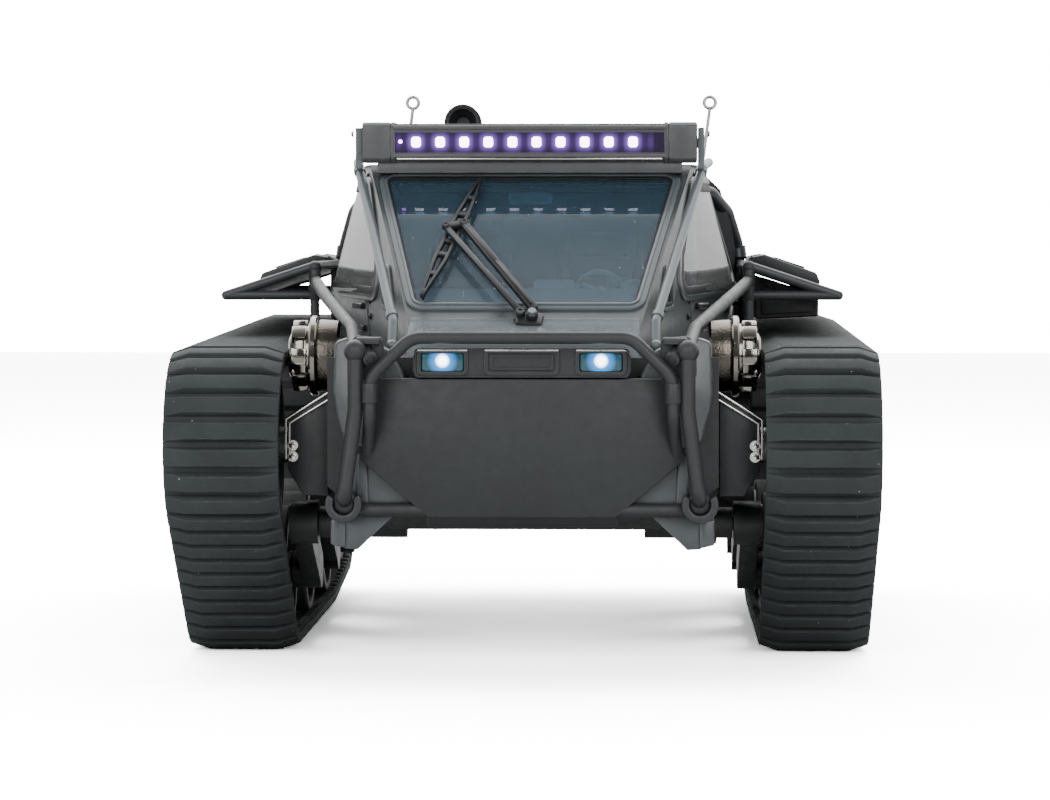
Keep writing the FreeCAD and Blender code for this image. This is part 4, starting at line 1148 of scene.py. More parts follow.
def wiper_arm_parts():
    """Two arm bars, the pivot block and its foot."""
    plane = wiper_plane()

    def bar(start, end, half, low, high):
        start, end = Vector(start), Vector(end)
        side = (end - start).normalized()
        side = Vector((-side.y, side.x)) * half
        corners = [tuple(start + side), tuple(start - side), tuple(end - side), tuple(end + side)]
        return plane_slab(plane, corners, low, high, 0.35)

    parts = [bar((-4.6, 2.2), (-35.2, 53.0), 1.15, 5.4, 7.4), bar((0.8, 3.4), (-28.0, 54.6), 1.7, 5.2, 7.6),
             bar((-0.4, 5.6), (-14.6, 30.8), 0.7, 7.5, 8.2),
             bar((-14.0, 29.6), (-27.6, 53.8), 1.1, 7.5, 8.0),
             bar((-36.4, 53.4), (-26.4, 56.2), 1.5, 4.9, 6.9)]
    block_line = [(-6.4, -3.4), (3.4, -4.2), (4.6, 1.4), (0.6, 4.6), (-6.4, 3.2)]
    parts.append(plane_slab(plane, block_line, 3.6, 5.6, 0.6, 1.0))
    axis = lift(plane, 1)
    for x, y, height, radius in ((0, 0, 7.4, 2.3), (-4.6, 1.4, 7.2, 1.9), (-35.2, 53.2, 7.2, 1.5),
                                 (-28.0, 54.8, 7.4, 1.7)):
        spot = plane @ mm(x, y, height)
        profile = [(-1.4, 0), (-1.4, radius), (0.5, radius), (0.9, radius * 0.8), (0.9, radius * 0.45),
                   (0.5, radius * 0.4), (0.5, 0)]
        parts.append(turned(profile, spot, axis, 28))
    return parts


class CAR_OT_wiper(bpy.types.Operator):
    """Windshield wiper"""

    bl_idname = "tracked_car.wiper"
    bl_label = "Wiper"

    def execute(self, context):
        piece("wiper_arm_bars", wiper_arm_parts(), FINISHES["plastic"], "wiper",
              stands_for=["wiper_arm"])
        piece("wiper_blade_ladder", wiper_blade_parts(), FINISHES["plastic"], "wiper",
              stands_for=["wiper_blade"])
        plane = wiper_plane()
        foot = [(-9.4, -4.4), (6.4, -5.6), (7.4, -1.4), (1.6, 3.6), (-7.8, 2.4)]
        foot_pad = plane_slab(plane, foot, -0.4, 3.2, 0.7, 1.4)
        piece("wiper_foot", [foot_pad], FINISHES["plastic"])
        return {"FINISHED"}


# ---------------------------------------------------------------- cabin sides and roof

SIDE_WINDOW = ((-107, 142), (-100, 158), (-76, 186), (-44, 186), (44, 186), (52, 147), (-40, 144))
QUARTER_WINDOW = ((-131, 137), (-116, 138), (-113, 152), (-119, 152))


def wall_line(points, distance, off, round_by):
    """Closed line on the left cabin wall round an outline in Y and Z, moved outwards by a distance."""
    line = rounded([Vector((y, z, 0)) for y, z in grown(points, distance)], round_by, True)
    return [cabin_side(point.x, point.y, off) for point in line]


def wall_frame(points, out, inward, low, high, round_by, edge=0.3):
    """Frame on the left cabin wall round an outline."""
    outer = wall_line(points, out, low, round_by + out)
    inner = wall_line(points, -inward, low, max(0.5, round_by - inward))
    return ring_slab(outer, inner, mm(high - low, 0, 0), edge * MM)


def window_frames():
    """Raised frames of the left side and quarter windows."""
    return [wall_frame(SIDE_WINDOW, 3.2, -0.6, -0.6, 1.0, 7.0, 0.4),
            wall_frame(QUARTER_WINDOW, 2.0, -0.3, -0.6, 0.9, 3.0)]


def window_seals():
    """Dark seals inside the left side and quarter windows."""
    return [wall_frame(SIDE_WINDOW, 0.7, 2.6, -0.9, 0.7, 6.0),
            wall_frame(QUARTER_WINDOW, 0.4, 1.4, -0.9, 0.6, 2.6)]


def quarter_pane():
    """Glass of the left quarter window."""
    line = wall_line(QUARTER_WINDOW, -0.2, -1.9, 2.6)
    return [slab(line, mm(0.9, 0, 0), 0)]


def door_parts():
    """Hinges, handle and screws on the left cabin wall."""
    parts = []
    for y, z in ((-96, 139.5), (-96, 133)):
        parts.append(bolt(cabin_side(y, z, -0.1), (1, 0, 0.1), 1.1 * MM, 0.9 * MM))
    for z in (128, 137):
        start, end = cabin_side(-88, z, 0.8), cabin_side(-76, z, 0.8)
        parts.append(rod(start, end, 1.3 * MM, edge=0.3 * MM))
    handle = [cabin_side(y, 136, off) for y, off in ((38, 0), (38, 2.6), (56, 2.6), (56, 0))]
    parts.append(pipe(handle, 1.1 * MM, 1.6 * MM))
    for y, z in ((-70, 189.6), (-20, 189.6), (36, 189.6)):
        parts.append(bolt(cabin_side(y, z, -0.1), (1, 0, 0.25), 1.2 * MM, 0.9 * MM))
    return parts


def door_seam():
    """Raised rim of the left door."""
    outline = ((-92, 123), (-92, 139), (60, 139), (60, 123))
    return [wall_frame(outline, 0.5, 0.4, -0.4, 0.5, 3.0, 0.15)]


class CAR_OT_cabin_sides(bpy.types.Operator):
    """Side and quarter windows, doors and their fittings"""

    bl_idname = "tracked_car.cabin_sides"
    bl_label = "Cabin sides"

    def execute(self, context):
        pair("window_frame", window_frames, FINISHES["body"], slot="body")
        pair("window_seal", window_seals, FINISHES["dull"], slot="trim")
        pair("quarter_pane", quarter_pane, FINISHES["side_glass"], slot="glass")
        pair("door_fittings", door_parts, FINISHES["plastic"], slot="trim")
        pair("door_rim", door_seam, FINISHES["body"], slot="body")
        dress("cabin", "body")
        for tag, _ in SIDES:
            dress(f"side_window_{tag}", "side_glass")
        return {"FINISHED"}


def roof_parts():
    """Hatch, ribs and screws of the roof."""
    plane = facing_up(194)
    hatch = [(-2, -36), (44, -36), (44, 22), (-2, 22)]
    parts = [plane_slab(plane, hatch, -0.4, 1.2, 0.5, 4.0),
             plane_frame(plane, hatch, -1.6, 3.2, 0.9, 1.7, 3.0, 0.25)]
    for x in (-54, -46, -38, -30, -22):
        parts.append(plane_slab(plane, oblong(x, -18, 3.4, 56), -0.4, 0.9, 0.5, 1.2))
    for x, y in ((-58, -62), (58, -62), (-62, 56), (62, 56), (0, -62), (0, 56)):
        parts.append(bolt(mm(x, y, 194), (0, 0, 1), 1.5 * MM, 1.1 * MM))
    return parts


def roof_fittings():
    """Hatch handle and hinges."""
    loop = [mm(10, -26, 195), mm(10, -26, 198), mm(32, -26, 198), mm(32, -26, 195)]
    parts = [pipe(loop, 1.1 * MM, 1.6 * MM)]
    for x in (8, 34):
        parts.append(rod(mm(x - 4, 22.6, 195.6), mm(x + 4, 22.6, 195.6), 1.4 * MM, edge=0.3 * MM))
    return parts


def nozzle_parts():
    """Lip, throat and clamp of the roof nozzle."""
    centre = mm(-32, 26, 214)
    front = (0, -1, 0)
    lip = turned([(6.6, 7.2), (7.4, 7.9), (8.6, 7.9), (9.2, 7.0), (9.0, 5.9), (7.6, 5.4)], centre, front, 44)
    throat = turned([(6.8, 5.6), (4.4, 3.4), (2.6, 2.6), (2.4, 0)], centre, front, 44)
    band = turned([(-4, 7.3), (-3.6, 7.8), (-0.6, 7.8), (-0.2, 7.3)], centre, front, 44)
    foot = plane_slab(facing_up(194), oblong(-32, 26, 15, 18), -0.3, 2.0, 0.7, 2.4)
    screws = [bolt(mm(-32 + dx, 26 + dy, 196), (0, 0, 1), 1.0 * MM, 0.9 * MM)
              for dx in (-5.4, 5.4) for dy in (-6.6, 6.6)]
    return [lip, throat, band, foot, *screws]


class CAR_OT_roof(bpy.types.Operator):
    """Roof hatch, ribs and nozzle"""

    bl_idname = "tracked_car.roof"
    bl_label = "Roof"

    def execute(self, context):
        piece("roof_panels", roof_parts(), FINISHES["body"])
        piece("roof_fittings", roof_fittings(), FINISHES["plastic"])
        piece("nozzle_rim", nozzle_parts(), FINISHES["plastic"])
        dress("roof_nozzle", "plastic")
        return {"FINISHED"}


# ---------------------------------------------------------------- light bar

LIGHT_Y, LIGHT_Z = -86.5, 202.4
LIGHT_FACE = LIGHT_Y - 7.5


def led_centres():
    """X of every lit LED, in millimetres."""
    size = sizes()
    pitch = size.led_pitch / MM
    return [(index - (size.led_count - 1) / 2) * pitch - 2.0 for index in range(size.led_count)]


def bar_caps():
    """Taller ends of the light bar, its upper and lower rims and its cooling fins."""
    face = facing_front(LIGHT_FACE)
    parts = []
    for sign in (-1, 1):
        near, far = sorted((sign * 55.6, sign * 66.8))
        corners = [(LIGHT_FACE - 0.5, 196), (LIGHT_FACE + 1.5, 194.4), (-80.6, 194.4), (-78.6, 196.4),
                   (-78.6, 208.4), (-80.6, 210.6), (LIGHT_FACE + 1.5, 210.6), (LIGHT_FACE - 0.5, 209)]
        parts.append(plane_slab(facing_left(near), corners, 0, far - near, 0.6))
        shifted = [(y + 0.3, z) for y, z in corners]
        parts.append(plane_slab(facing_left(sign * 54.6 - 0.8), shifted, 0, 1.6, 0.3))
        wedge = [(sign * 54, 209.2), (sign * 46, 208.8), (sign * 54, 207.6)]
        parts.append(plane_slab(face, wedge, -0.4, 0.5, 0.15))
    parts.append(plane_slab(face, oblong(0, 208.4, 109, 1.5), -0.6, 0.8, 0.3))
    parts.append(plane_slab(face, oblong(0, 197.1, 109, 1.4), -0.6, 0.5, 0.3))
    for index in range(7):
        fin = oblong(0, 197.4 + index * 1.7, 104, 0.8)
        parts.append(plane_slab(facing_front(-78.9), fin, -0.9, 0.2, 0.15))
    return parts


def bar_highlight_line():
    """Bright strip under the light bar's window: a painted highlight standing for the light along the
    window's lower edge.
    """
    return [plane_slab(facing_front(LIGHT_FACE), oblong(0, 195.9, 106, 0.5), -0.5, 0.35, 0.1)]


def led_parts():
    """Lit LEDs in the window of the bar."""
    plane = facing_front(LIGHT_FACE)
    outlines = [oblong(x, LIGHT_Z + 0.2, 3.8, 4.2) for x in led_centres()]
    return [plane_slab(plane, outline, -0.6, 0.3, 0.3, 1.2, 3) for outline in outlines]


def end_led():
    """Small round light beside the right end of the row."""
    dot = arc(-51.6, LIGHT_Z + 0.4, 0.8, 0, 330, 11)
    return [plane_slab(facing_front(LIGHT_FACE), dot, -0.6, 0.3, 0.15)]


def end_screws(x, y, z, height):
    """Screw on each side of the light bar."""
    return [bolt(mm(sign * x, y, z), (sign, 0, 0), 1.2 * MM, height * MM) for sign in (-1, 1)]


def window_glow():
    """Lens of the light bar: violet light that swells at every LED."""
    recipe = Recipe("light bar lens")
    glow = colours().glow
    split = recipe.add("ShaderNodeSeparateXYZ", Vector=recipe.place)
    pitch = sizes().led_pitch
    shifted = recipe.sum(split.outputs[0], 2.0 * MM + pitch * (sizes().led_count / 2 + 8), "ADD")
    phase = recipe.sum(recipe.sum(shifted, pitch, "DIVIDE"), 1.0, "MODULO")
    swell = recipe.ramp(recipe.absolute(recipe.sum(phase, 0.5, "SUBTRACT")), 0.14, 0.42, 1.0, 0.10)
    fade = recipe.ramp(recipe.absolute(recipe.sum(split.outputs[0], 2.0 * MM)), 46.5 * MM, 52 * MM, 1.0, 0.0)
    height = recipe.absolute(recipe.sum(split.outputs[2], -(LIGHT_Z + 0.2) * MM))
    band = recipe.ramp(height, 1.0 * MM, 3.6 * MM, 1.0, 0.16)
    level = recipe.sum(recipe.sum(swell, fade, "MULTIPLY"), band, "MULTIPLY")
    colour = recipe.blend(level, (0.02, 0.01, 0.04, 1), rgba(glow))
    recipe.tree.links.new(colour, recipe.shader.inputs["Emission Color"])
    recipe.shader.inputs["Emission Strength"].default_value = 1.1
    recipe.shader.inputs["Base Color"].default_value = (0.01, 0.01, 0.015, 1)
    shine = recipe.ramp(recipe.noise(600).outputs[0], 0.3, 0.7, 0.06, 0.2)
    recipe.tree.links.new(shine, recipe.shader.inputs["Roughness"])
    return recipe.material


class CAR_OT_light_bar(bpy.types.Operator):
    """Light bar with its LEDs, caps and a bright strip of painted highlight"""

    bl_idname = "tracked_car.light_bar"
    bl_label = "Light bar"

    def execute(self, context):
        piece("bar_caps", bar_caps(), FINISHES["bar"], "lamp_bar")
        # Bright steel strip under the window: a painted highlight along its lower edge.
        piece("bar_highlight_line", bar_highlight_line(), FINISHES["steel"], "lamp_bar")
        sill = plane_slab(facing_front(-79.5), oblong(0, 192.6, 122, 4.8), 0, 11.5, 0.8)
        piece("bar_sill", [sill], FINISHES["bar"])
        on_bar = end_screws(66.4, LIGHT_Y - 4.2, 205.6, 0.5)
        on_ears = end_screws(71.3, LIGHT_Y + 4.6, 206.2, 0.9)
        piece("bar_screws", on_bar, FINISHES["steel_dark"], "lamp_bar")
        piece("ear_screws", on_ears, FINISHES["steel_dark"])
        piece("bar_leds", led_parts(), FINISHES["led"], "lamp_bar")
        piece("bar_under_leds", end_led(), FINISHES["led_small"], "lamp_bar")
        dress("light_bar", "bar")
        paint("light_lens", window_glow())
        return {"FINISHED"}


# ---------------------------------------------------------------- fenders

def fender_plane():
    """Slope of the left fender plate: rearward along Y, out and down across, height off it."""
    inner, outer = mm(88.6, 0, 153), mm(125, 0, 141)
    across = (outer - inner).normalized()
    up = Vector((-across.z, 0, across.x))
    along = Vector((0, 1, 0))
    turn = Matrix((along, -across, up)).transposed().to_4x4()
    return Matrix.Translation(inner) @ turn


def fender_parts():
    """Pressed ribs and screws on the left fender plate."""
    plane = fender_plane()
    parts = [plane_slab(plane, oblong(y, -19, 36, 20), 0.4, 1.5, 0.5, 3.0) for y in (-36, 12)]
    for y in (-60, -12, 36, 84, 132):
        for across in (-4.4, -34):
            parts.append(bolt(plane @ mm(y, across, 0.6), lift(plane, 1), 1.2 * MM, 1.0 * MM))
    return parts


def fender_box():
    """Rounded locker on the rear half of the left fender."""
    section = [(-3, 0.4), (-3, 4.6), (-8, 7.2), (-32, 6.6), (-34.6, 3.6), (-34.6, 0.4)]
    plane = fender_plane()
    line = [plane @ mm(42, across, up) for across, up in section]
    shell = slab(rounded(line, 1.6 * MM, True, 4), mm(0, 88, 0), 0.9 * MM, 3)
    parts = [shell]
    for y in (60, 110):
        strap = [plane @ mm(y, across * 1.01, up + 0.35) for across, up in section]
        parts.append(slab(strap, mm(0, 5, 0), 0.25 * MM))
    parts.append(plane_slab(plane, oblong(86, -20, 60, 14), 6.6, 7.8, 0.4, 2.0))
    return parts


def fender_posts():
    """Post with a rounded cap at the left fender's front inner corner."""
    post = rod(mm(88.6, -64, 139), mm(88.6, -64, 152), 2.5 * MM, edge=0.5 * MM)
    cap = ball(mm(88.6, -64, 152.4), 2.7 * MM, 24)
    return [post, cap]


def under_fender_box():
    """Dark locker that hangs under the left fender only."""
    corners = [(91.5, 131), (91.5, 149.2), (97, 147.6), (117.5, 141), (117.5, 132.2)]
    return [plane_slab(facing_front(4), corners, 0, 54, 0.9, 1.2, 3),
            plane_slab(facing_front(-50), [(94, 133), (94, 145), (115, 139), (115, 134)], 0, 0.9, 0.4, 1.0)]


class CAR_OT_fenders(bpy.types.Operator):
    """Fender ribs, lockers and posts"""

    bl_idname = "tracked_car.fenders"
    bl_label = "Fenders"

    def execute(self, context):
        pair("fender_ribs", fender_parts, FINISHES["plastic"], slot="fender")
        pair("fender_locker", fender_box, FINISHES["plastic"], slot="fender")
        pair("fender_post", fender_posts, FINISHES["tube"], slot="fender")
        piece("low_locker_L", under_fender_box(), FINISHES["dull"])
        for tag, _ in SIDES:
            dress(f"fender_{tag}", "fender")
        return {"FINISHED"}


# ---------------------------------------------------------------- inside the cabin

def seat_parts():
    """Left bucket seat: cushion, back, bolsters and padding rolls."""
    cushion = [(-48, 119), (-48, 133), (-44, 137), (-16, 134.6), (-10, 130), (-6, 119)]
    parts = [plane_slab(facing_left(12), cushion, 0, 32, 1.8, 2.0, 3)]
    back = [(-17, 134), (-12, 131), (-3, 131), (6, 165), (0, 167), (-4, 164)]
    parts.append(plane_slab(facing_left(13.5), back, 0, 29, 1.8, 2.0, 3))
    for near in (10.2, 40.4):
        side = [(-19, 136), (-16, 129), (-3, 129), (5, 158), (-2, 160), (-7, 156)]
        parts.append(plane_slab(facing_left(near), side, 0, 5.4, 1.8, 2.0, 3))
        lap = [(-46, 130), (-44, 140), (-18, 138), (-16, 130)]
        parts.append(plane_slab(facing_left(near), lap, 0, 5.0, 1.8, 2.0, 3))
    for index in range(3):
        y, z = -14.0 + index * 3.4, 141 + index * 7.4
        parts.append(rod(mm(17, y, z), mm(39, y, z), 1.0 * MM, edge=0.3 * MM))
    return parts


def cabin_fittings():
    """Dash hood, steering wheel, console, lever and roll hoop."""
    dash = [(-110, 120), (-110, 138), (-104, 144), (-93, 141), (-91, 120)]
    parts = [plane_slab(facing_left(-48), dash, 0, 96, 1.6, 2.0, 3)]
    for x in (10, 46):
        parts.append(plane_slab(facing_left(x - 8), [(-103, 142), (-99, 147.4), (-92, 145.6), (-91.6, 138)],
                                0, 16, 1.0, 1.0))
    centre = mm(28, -84, 142)
    axis = Vector((0, 0.86, 0.5)).normalized()
    parts.append(rod(centre - axis * 12 * MM, centre, 1.6 * MM, edge=0.2 * MM))
    side = Vector((1, 0, 0))
    up = axis.cross(side)
    rim = [centre + (side * math.cos(a) + up * math.sin(a)) * 9.6 * MM
           for a in (2 * math.pi * index / 20 for index in range(20))]
    parts.append(pipe(rim, 1.1 * MM, 0.2 * MM, True))
    for angle in (90, 210, 330):
        way = side * math.cos(math.radians(angle)) + up * math.sin(math.radians(angle))
        parts.append(rod(centre, centre + way * 9.4 * MM, 0.9 * MM))
    parts.append(turned([(-1.0, 0), (-1.0, 2.8), (0.8, 2.6), (0.8, 0)], centre, axis))
    console = [(-88, 119), (-88, 128), (-60, 131), (-8, 129), (-8, 119)]
    parts.append(plane_slab(facing_left(-6), console, 0, 12, 1.0, 1.5))
    parts.append(rod(mm(0, -66, 130), mm(0, -70, 141), 1.0 * MM))
    parts.append(ball(mm(0, -70, 142), 2.0 * MM, 18))
    hoop = [mm(-66, 20, 120), mm(-64, 20, 186), mm(64, 20, 186), mm(66, 20, 120)]
    parts.append(pipe(hoop, 2.2 * MM, 12 * MM))
    for sign in (-1, 1):
        parts.append(pipe([mm(sign * 60, 20, 183), mm(sign * 58, -70, 186)], 1.8 * MM))
    return parts


def mirror_part():
    """Rear-view mirror."""
    plane = facing_front(-74)
    return [plane_slab(plane, oblong(0, 180, 18, 5.4), -1.6, 1.6, 0.8, 2.0, 3),
            rod(mm(0, -73, 183), mm(0, -72, 188), 0.9 * MM)]


class CAR_OT_interior(bpy.types.Operator):
    """Seats, dash and controls"""

    bl_idname = "tracked_car.interior"
    bl_label = "Interior"

    def execute(self, context):
        pair("bucket_seat", seat_parts, FINISHES["cloth"], slot="seat", stands_for=["seat_{}"])
        piece("dash_and_hoop", cabin_fittings(), FINISHES["inside"])
        piece("mirror", mirror_part(), FINISHES["inside"])
        dress("dashboard", "inside")
        dress("deck", "hull")
        return {"FINISHED"}


# ---------------------------------------------------------------- rear

COWL_FRONT, COWL_REAR = 65.0, 176.0


def cowl_plane():
    """Sloping top of the rear cowl: across, down the slope to the rear, height off it."""
    front, rear = mm(0, COWL_FRONT, 194.4), mm(0, COWL_REAR, 168.4)
    along = (rear - front).normalized()
    up = Vector((1, 0, 0)).cross(along)
    turn = Matrix((Vector((1, 0, 0)), along, up)).transposed().to_4x4()
    return Matrix.Translation(front) @ turn


def cowl_top():
    """Louvres, ribs and rim on the top of the rear cowl."""
    plane = cowl_plane()
    parts = [plane_frame(plane, [(-40, 16), (40, 16), (36, 84), (-36, 84)], 2.0, 1.4, -0.4, 1.3, 4.0)]
    for index in range(7):
        y = 22 + index * 9
        half = 36.5 - index * 0.45
        blade = slab([plane @ mm(-half, y, 0.1), plane @ mm(half, y, 0.1), plane @ mm(half, y + 6.4, 2.1),
                      plane @ mm(-half, y + 6.4, 2.1)], lift(plane, -0.9), 0.25 * MM)
        parts.append(blade)
    for sign in (-1, 1):
        parts.append(plane_slab(plane, oblong(sign * 52, 50, 5, 84), -0.4, 1.1, 0.6, 2.0))
    for x, y in ((-58, 8), (58, 8), (-56, 100), (56, 100), (0, 8)):
        parts.append(bolt(plane @ mm(x, y, -0.1), lift(plane, 1), 1.5 * MM, 1.1 * MM))
    return parts


def facing_rear(y):
    """Plane that faces the rear at a Y: across from right to left, up, and height to the rear."""
    return Matrix(((-1, 0, 0, 0), (0, 0, 1, y * MM), (0, 1, 0, 0), (0, 0, 0, 1)))


def cowl_back():
    """Tail panel, latch and grille on the rear of the cowl."""
    plane = facing_rear(COWL_REAR)
    parts = [plane_frame(plane, oblong(0, 141, 68, 30), 1.2, 1.0, -0.3, 0.9, 3.0)]
    for index in range(6):
        parts.append(plane_slab(plane, oblong(0, 129.6 + index * 4.6, 64, 2.0), -0.3, 1.2, 0.4, 0.8))
    for sign in (-1, 1):
        parts.append(plane_frame(plane, oblong(sign * 54, 144, 24, 15), 1.4, 0.2, -0.3, 1.3, 2.4))
    parts.append(plane_slab(plane, oblong(0, 123, 14, 5), -0.3, 1.8, 0.6, 1.2))
    return parts


def tail_lamps():
    """Red lenses of the tail lamps."""
    plane = facing_rear(COWL_REAR)
    return [plane_slab(plane, oblong(sign * 54, 144, 23, 14), -0.3, 0.8, 0.6, 2.0, 3) for sign in (-1, 1)]


def cowl_side():
    """Slanting vents on the left of the rear cowl."""
    parts = []
    for index in range(4):
        y = 84 + index * 13
        x = 85.4 - (y - 65) * 0.083
        corners = [(y, 128), (y + 7, 128), (y + 11, 152), (y + 4, 152)]
        parts.append(plane_frame(facing_left(x - 0.4), corners, 0.8, 0.5, -0.6, 1.0, 1.4, 0.25))
        slat = [(y + 3.6, 132), (y + 6, 132), (y + 8.6, 148), (y + 6, 148)]
        parts.append(plane_slab(facing_left(x - 0.6), slat, 0, 0.9, 0.3))
    return parts


def rear_hoop():
    """Black hoop over the left rear corner of the cabin."""
    line = [mm(70, 52, 186), mm(75.5, 58, 184), mm(82.6, 70, 176), mm(87.2, 78, 162), mm(88.4, 80, 150)]
    bar = pipe(line, 2.9 * MM, 7 * MM, sides=6)
    clamp = turned([(-3, 3.2), (-2.6, 3.9), (2.6, 3.9), (3, 3.2)], mm(87.6, 79, 158), (-0.12, 0.2, 1), 28)
    return [bar, clamp]


def cowl_hinges():
    """Hinge knuckles along the front of the rear cowl."""
    parts = []
    for x in (-46, -14, 14, 46):
        parts.append(rod(mm(x - 5, 65.5, 195.4), mm(x + 5, 65.5, 195.4), 1.7 * MM, edge=0.3 * MM))
        parts.append(plane_slab(facing_up(194.2), oblong(x, 61.4, 8, 8), 0, 1.1, 0.3, 1.0))
    return parts


AERIAL_X = {"L": 70.5, "R": -65.5}


def aerial_parts(tag):
    """Ribbed boot of one aerial."""
    foot = mm(AERIAL_X[tag], 126, 183)
    profile = [(0, 3.3), (0.6, 3.9), (2.0, 3.9), (2.6, 3.0), (3.2, 3.4), (4.0, 2.6), (4.8, 2.9), (5.6, 1.9),
               (9, 1.1), (9.4, 0)]
    return [turned(profile, foot, (0.1, 0, 1), 28)]


class CAR_OT_rear_cowl(bpy.types.Operator):
    """Rear cowl with its louvres, tail lamps, hoops and aerials"""

    bl_idname = "tracked_car.rear_cowl"
    bl_label = "Rear cowl"

    def execute(self, context):
        piece("cowl_louvres", cowl_top() + cowl_back(), FINISHES["cowl"], "cowl")
        piece("tail_lamps", tail_lamps(), FINISHES["red"], "cowl")
        pair("cowl_vents", cowl_side, FINISHES["plastic"], "cowl", "cowl")
        pair("rear_hoop", rear_hoop, FINISHES["cowl"], slot="tube")
        piece("cowl_hinges", cowl_hinges(), FINISHES["steel_dark"])
        dress("rear_cowl", "cowl")
        for tag, _ in SIDES:
            piece(f"aerial_boot_{tag}", aerial_parts(tag), FINISHES["dull"], "cowl")
            dress(f"antenna_{tag}", "whip")
        return {"FINISHED"}


def hull_parts():
    """Side strakes, screws and rear covers of the hull."""
    parts = []
    for sign in (-1, 1):
        for y in range(-160, 170, 22):
            parts.append(bolt(mm(sign * 73.8, y, 110), (sign, 0, 0), 1.2 * MM, 0.9 * MM))
        near = 73.6 if sign > 0 else -75.0
        parts.append(plane_slab(facing_left(near), oblong(0, 104.4, 330, 2.4), 0, 1.4, 0.4))
    rear = facing_rear(182)
    parts.append(plane_frame(rear, oblong(0, 98.5, 18, 9), 1.4, 0.4, -0.3, 1.0, 2.0))
    parts.append(plane_slab(rear, oblong(-34, 94, 26, 16), -0.3, 1.2, 0.5, 2.0))
    parts.append(plane_slab(rear, oblong(36, 94, 22, 16), -0.3, 1.0, 0.5, 2.0))
    for x, z in ((-60, 108), (60, 108), (-60, 74), (60, 74)):
        parts.append(bolt(mm(x, 182, z), (0, 1, 0), 1.5 * MM, 1.2 * MM))
    return parts


BELLY_Z = 52.0


def belly_parts():
    """Skid plate under the hull, with its runners and screws."""
    plane = facing_up(BELLY_Z)
    parts = [plane_slab(plane, [(-44, -136), (44, -136), (44, 158), (-44, 158)], -0.8, 0.4, 0.3, 4.0)]
    for x in (-36, 36):
        for y in (-128, -74, -20, 40, 100, 150):
            parts.append(bolt(mm(x, y, BELLY_Z - 0.7), (0, 0, -1), 1.6 * MM, 1.1 * MM))
    for x in (-22, 0, 22):
        parts.append(plane_slab(plane, oblong(x, 12, 4, 230), -1.8, -0.7, 0.5, 1.4))
    return parts


def bumper_parts():
    """Rubber ends, screws and eye ring of the rear bumper."""
    parts = []
    for sign in (-1, 1):
        plane = facing_up(65.4)
        corners = [(sign * 47, 187.6), (sign * 62.6, 187.6), (sign * 62.6, 190.6), (sign * 56.4, 195.6),
                   (sign * 47, 195.6)]
        parts.append(plane_slab(plane, corners, 0, 9.2, 0.8))
        parts.append(bolt(mm(sign * 30, 195, 70), (0, 1, 0), 1.6 * MM, 1.2 * MM))
    ring = [(8.0, 3.1), (8.7, 3.4), (8.7, 4.9), (8.0, 5.3)]
    parts.append(turned(ring, mm(0, 194, 66), (0, 0, 1), 32))
    return parts


def battery_dressing():
    """Straps over the battery."""
    low, high = (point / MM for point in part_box("battery"))
    parts = []
    for share in (0.22, 0.78):
        y = low.y + (high.y - low.y) * share
        start, end = mm(low.x - 0.6, y - 4, low.z + 0.2), mm(high.x + 0.6, y + 4, high.z + 0.9)
        parts.append(block(start, end, 0.5 * MM))
    return parts


def receiver_dressing():
    """Sockets and lid of the receiver."""
    low, high = (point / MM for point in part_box("receiver"))
    middle = (low + high) / 2
    plane = facing_up(high.z)
    parts = [plane_slab(plane, oblong(middle.x, middle.y - 6, 30, 34), -0.3, 0.9, 0.3, 2.0)]
    for index in range(6):
        parts.append(plane_slab(plane, oblong(low.x + 6 + index * 5.6, high.y - 6, 3.2, 7), -0.3, 2.2, 0.3))
    return parts


def switch_grips():
    """Three grips across the slider of the power switch."""
    low, high = (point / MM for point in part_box("power_switch"))
    grips = []
    for step in range(3):
        x = low.x + 1 + step * 1.6
        start, end = mm(x, high.y - 0.4, low.z + 0.4), mm(x + 0.8, high.y + 0.4, high.z - 0.4)
        grips.append(block(start, end, 0.15 * MM))
    return grips


def motor_dressing():
    """End bell and vents of the left motor."""
    low, high = (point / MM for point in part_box("motor_L"))
    centre = mm(low.x, (low.y + high.y) / 2, (low.z + high.z) / 2)
    reach = (high.z - low.z) / 2
    profile = [(-3.0, 0), (-3.0, 5.0), (-1.4, 5.4), (-1.2, reach - 2), (0.4, reach - 0.4), (0.4, 0)]
    bell = turned(profile, centre, (1, 0, 0), 40)
    band = [(0, reach - 0.1), (0.2, reach + 0.5), (3.4, reach + 0.5), (3.6, reach - 0.1)]
    length = high.x - low.x
    bands = [turned(band, centre + mm(length * share, 0, 0), (1, 0, 0), 40) for share in (0.3, 0.72)]
    return [bell, *bands]


class CAR_OT_hull(bpy.types.Operator):
    """Fittings of the hull, bumper, electronics, motors and switch"""

    bl_idname = "tracked_car.hull"
    bl_label = "Hull"

    def execute(self, context):
        piece("hull_fittings", hull_parts(), FINISHES["plastic"])
        piece("skid_plate", belly_parts(), FINISHES["metal_grey"])
        piece("bumper_fittings", bumper_parts(), FINISHES["plastic"])
        piece("battery_straps", battery_dressing(), FINISHES["dull"])
        piece("receiver_lid", receiver_dressing(), FINISHES["plastic"])
        pair("motor_bell", motor_dressing, FINISHES["steel_dark"], slot="motor")
        piece("switch_grips", switch_grips(), FINISHES["dull"], "switch")
        for node, key in (("hull", "hull"), ("rear_bumper", "tube"), ("battery", "battery"),
                          ("receiver", "plastic"), ("power_switch", "red")):
            dress(node, key)
        for tag, _ in SIDES:
            dress(f"motor_{tag}", "metal_grey")
        return {"FINISHED"}


# ---------------------------------------------------------------- stage

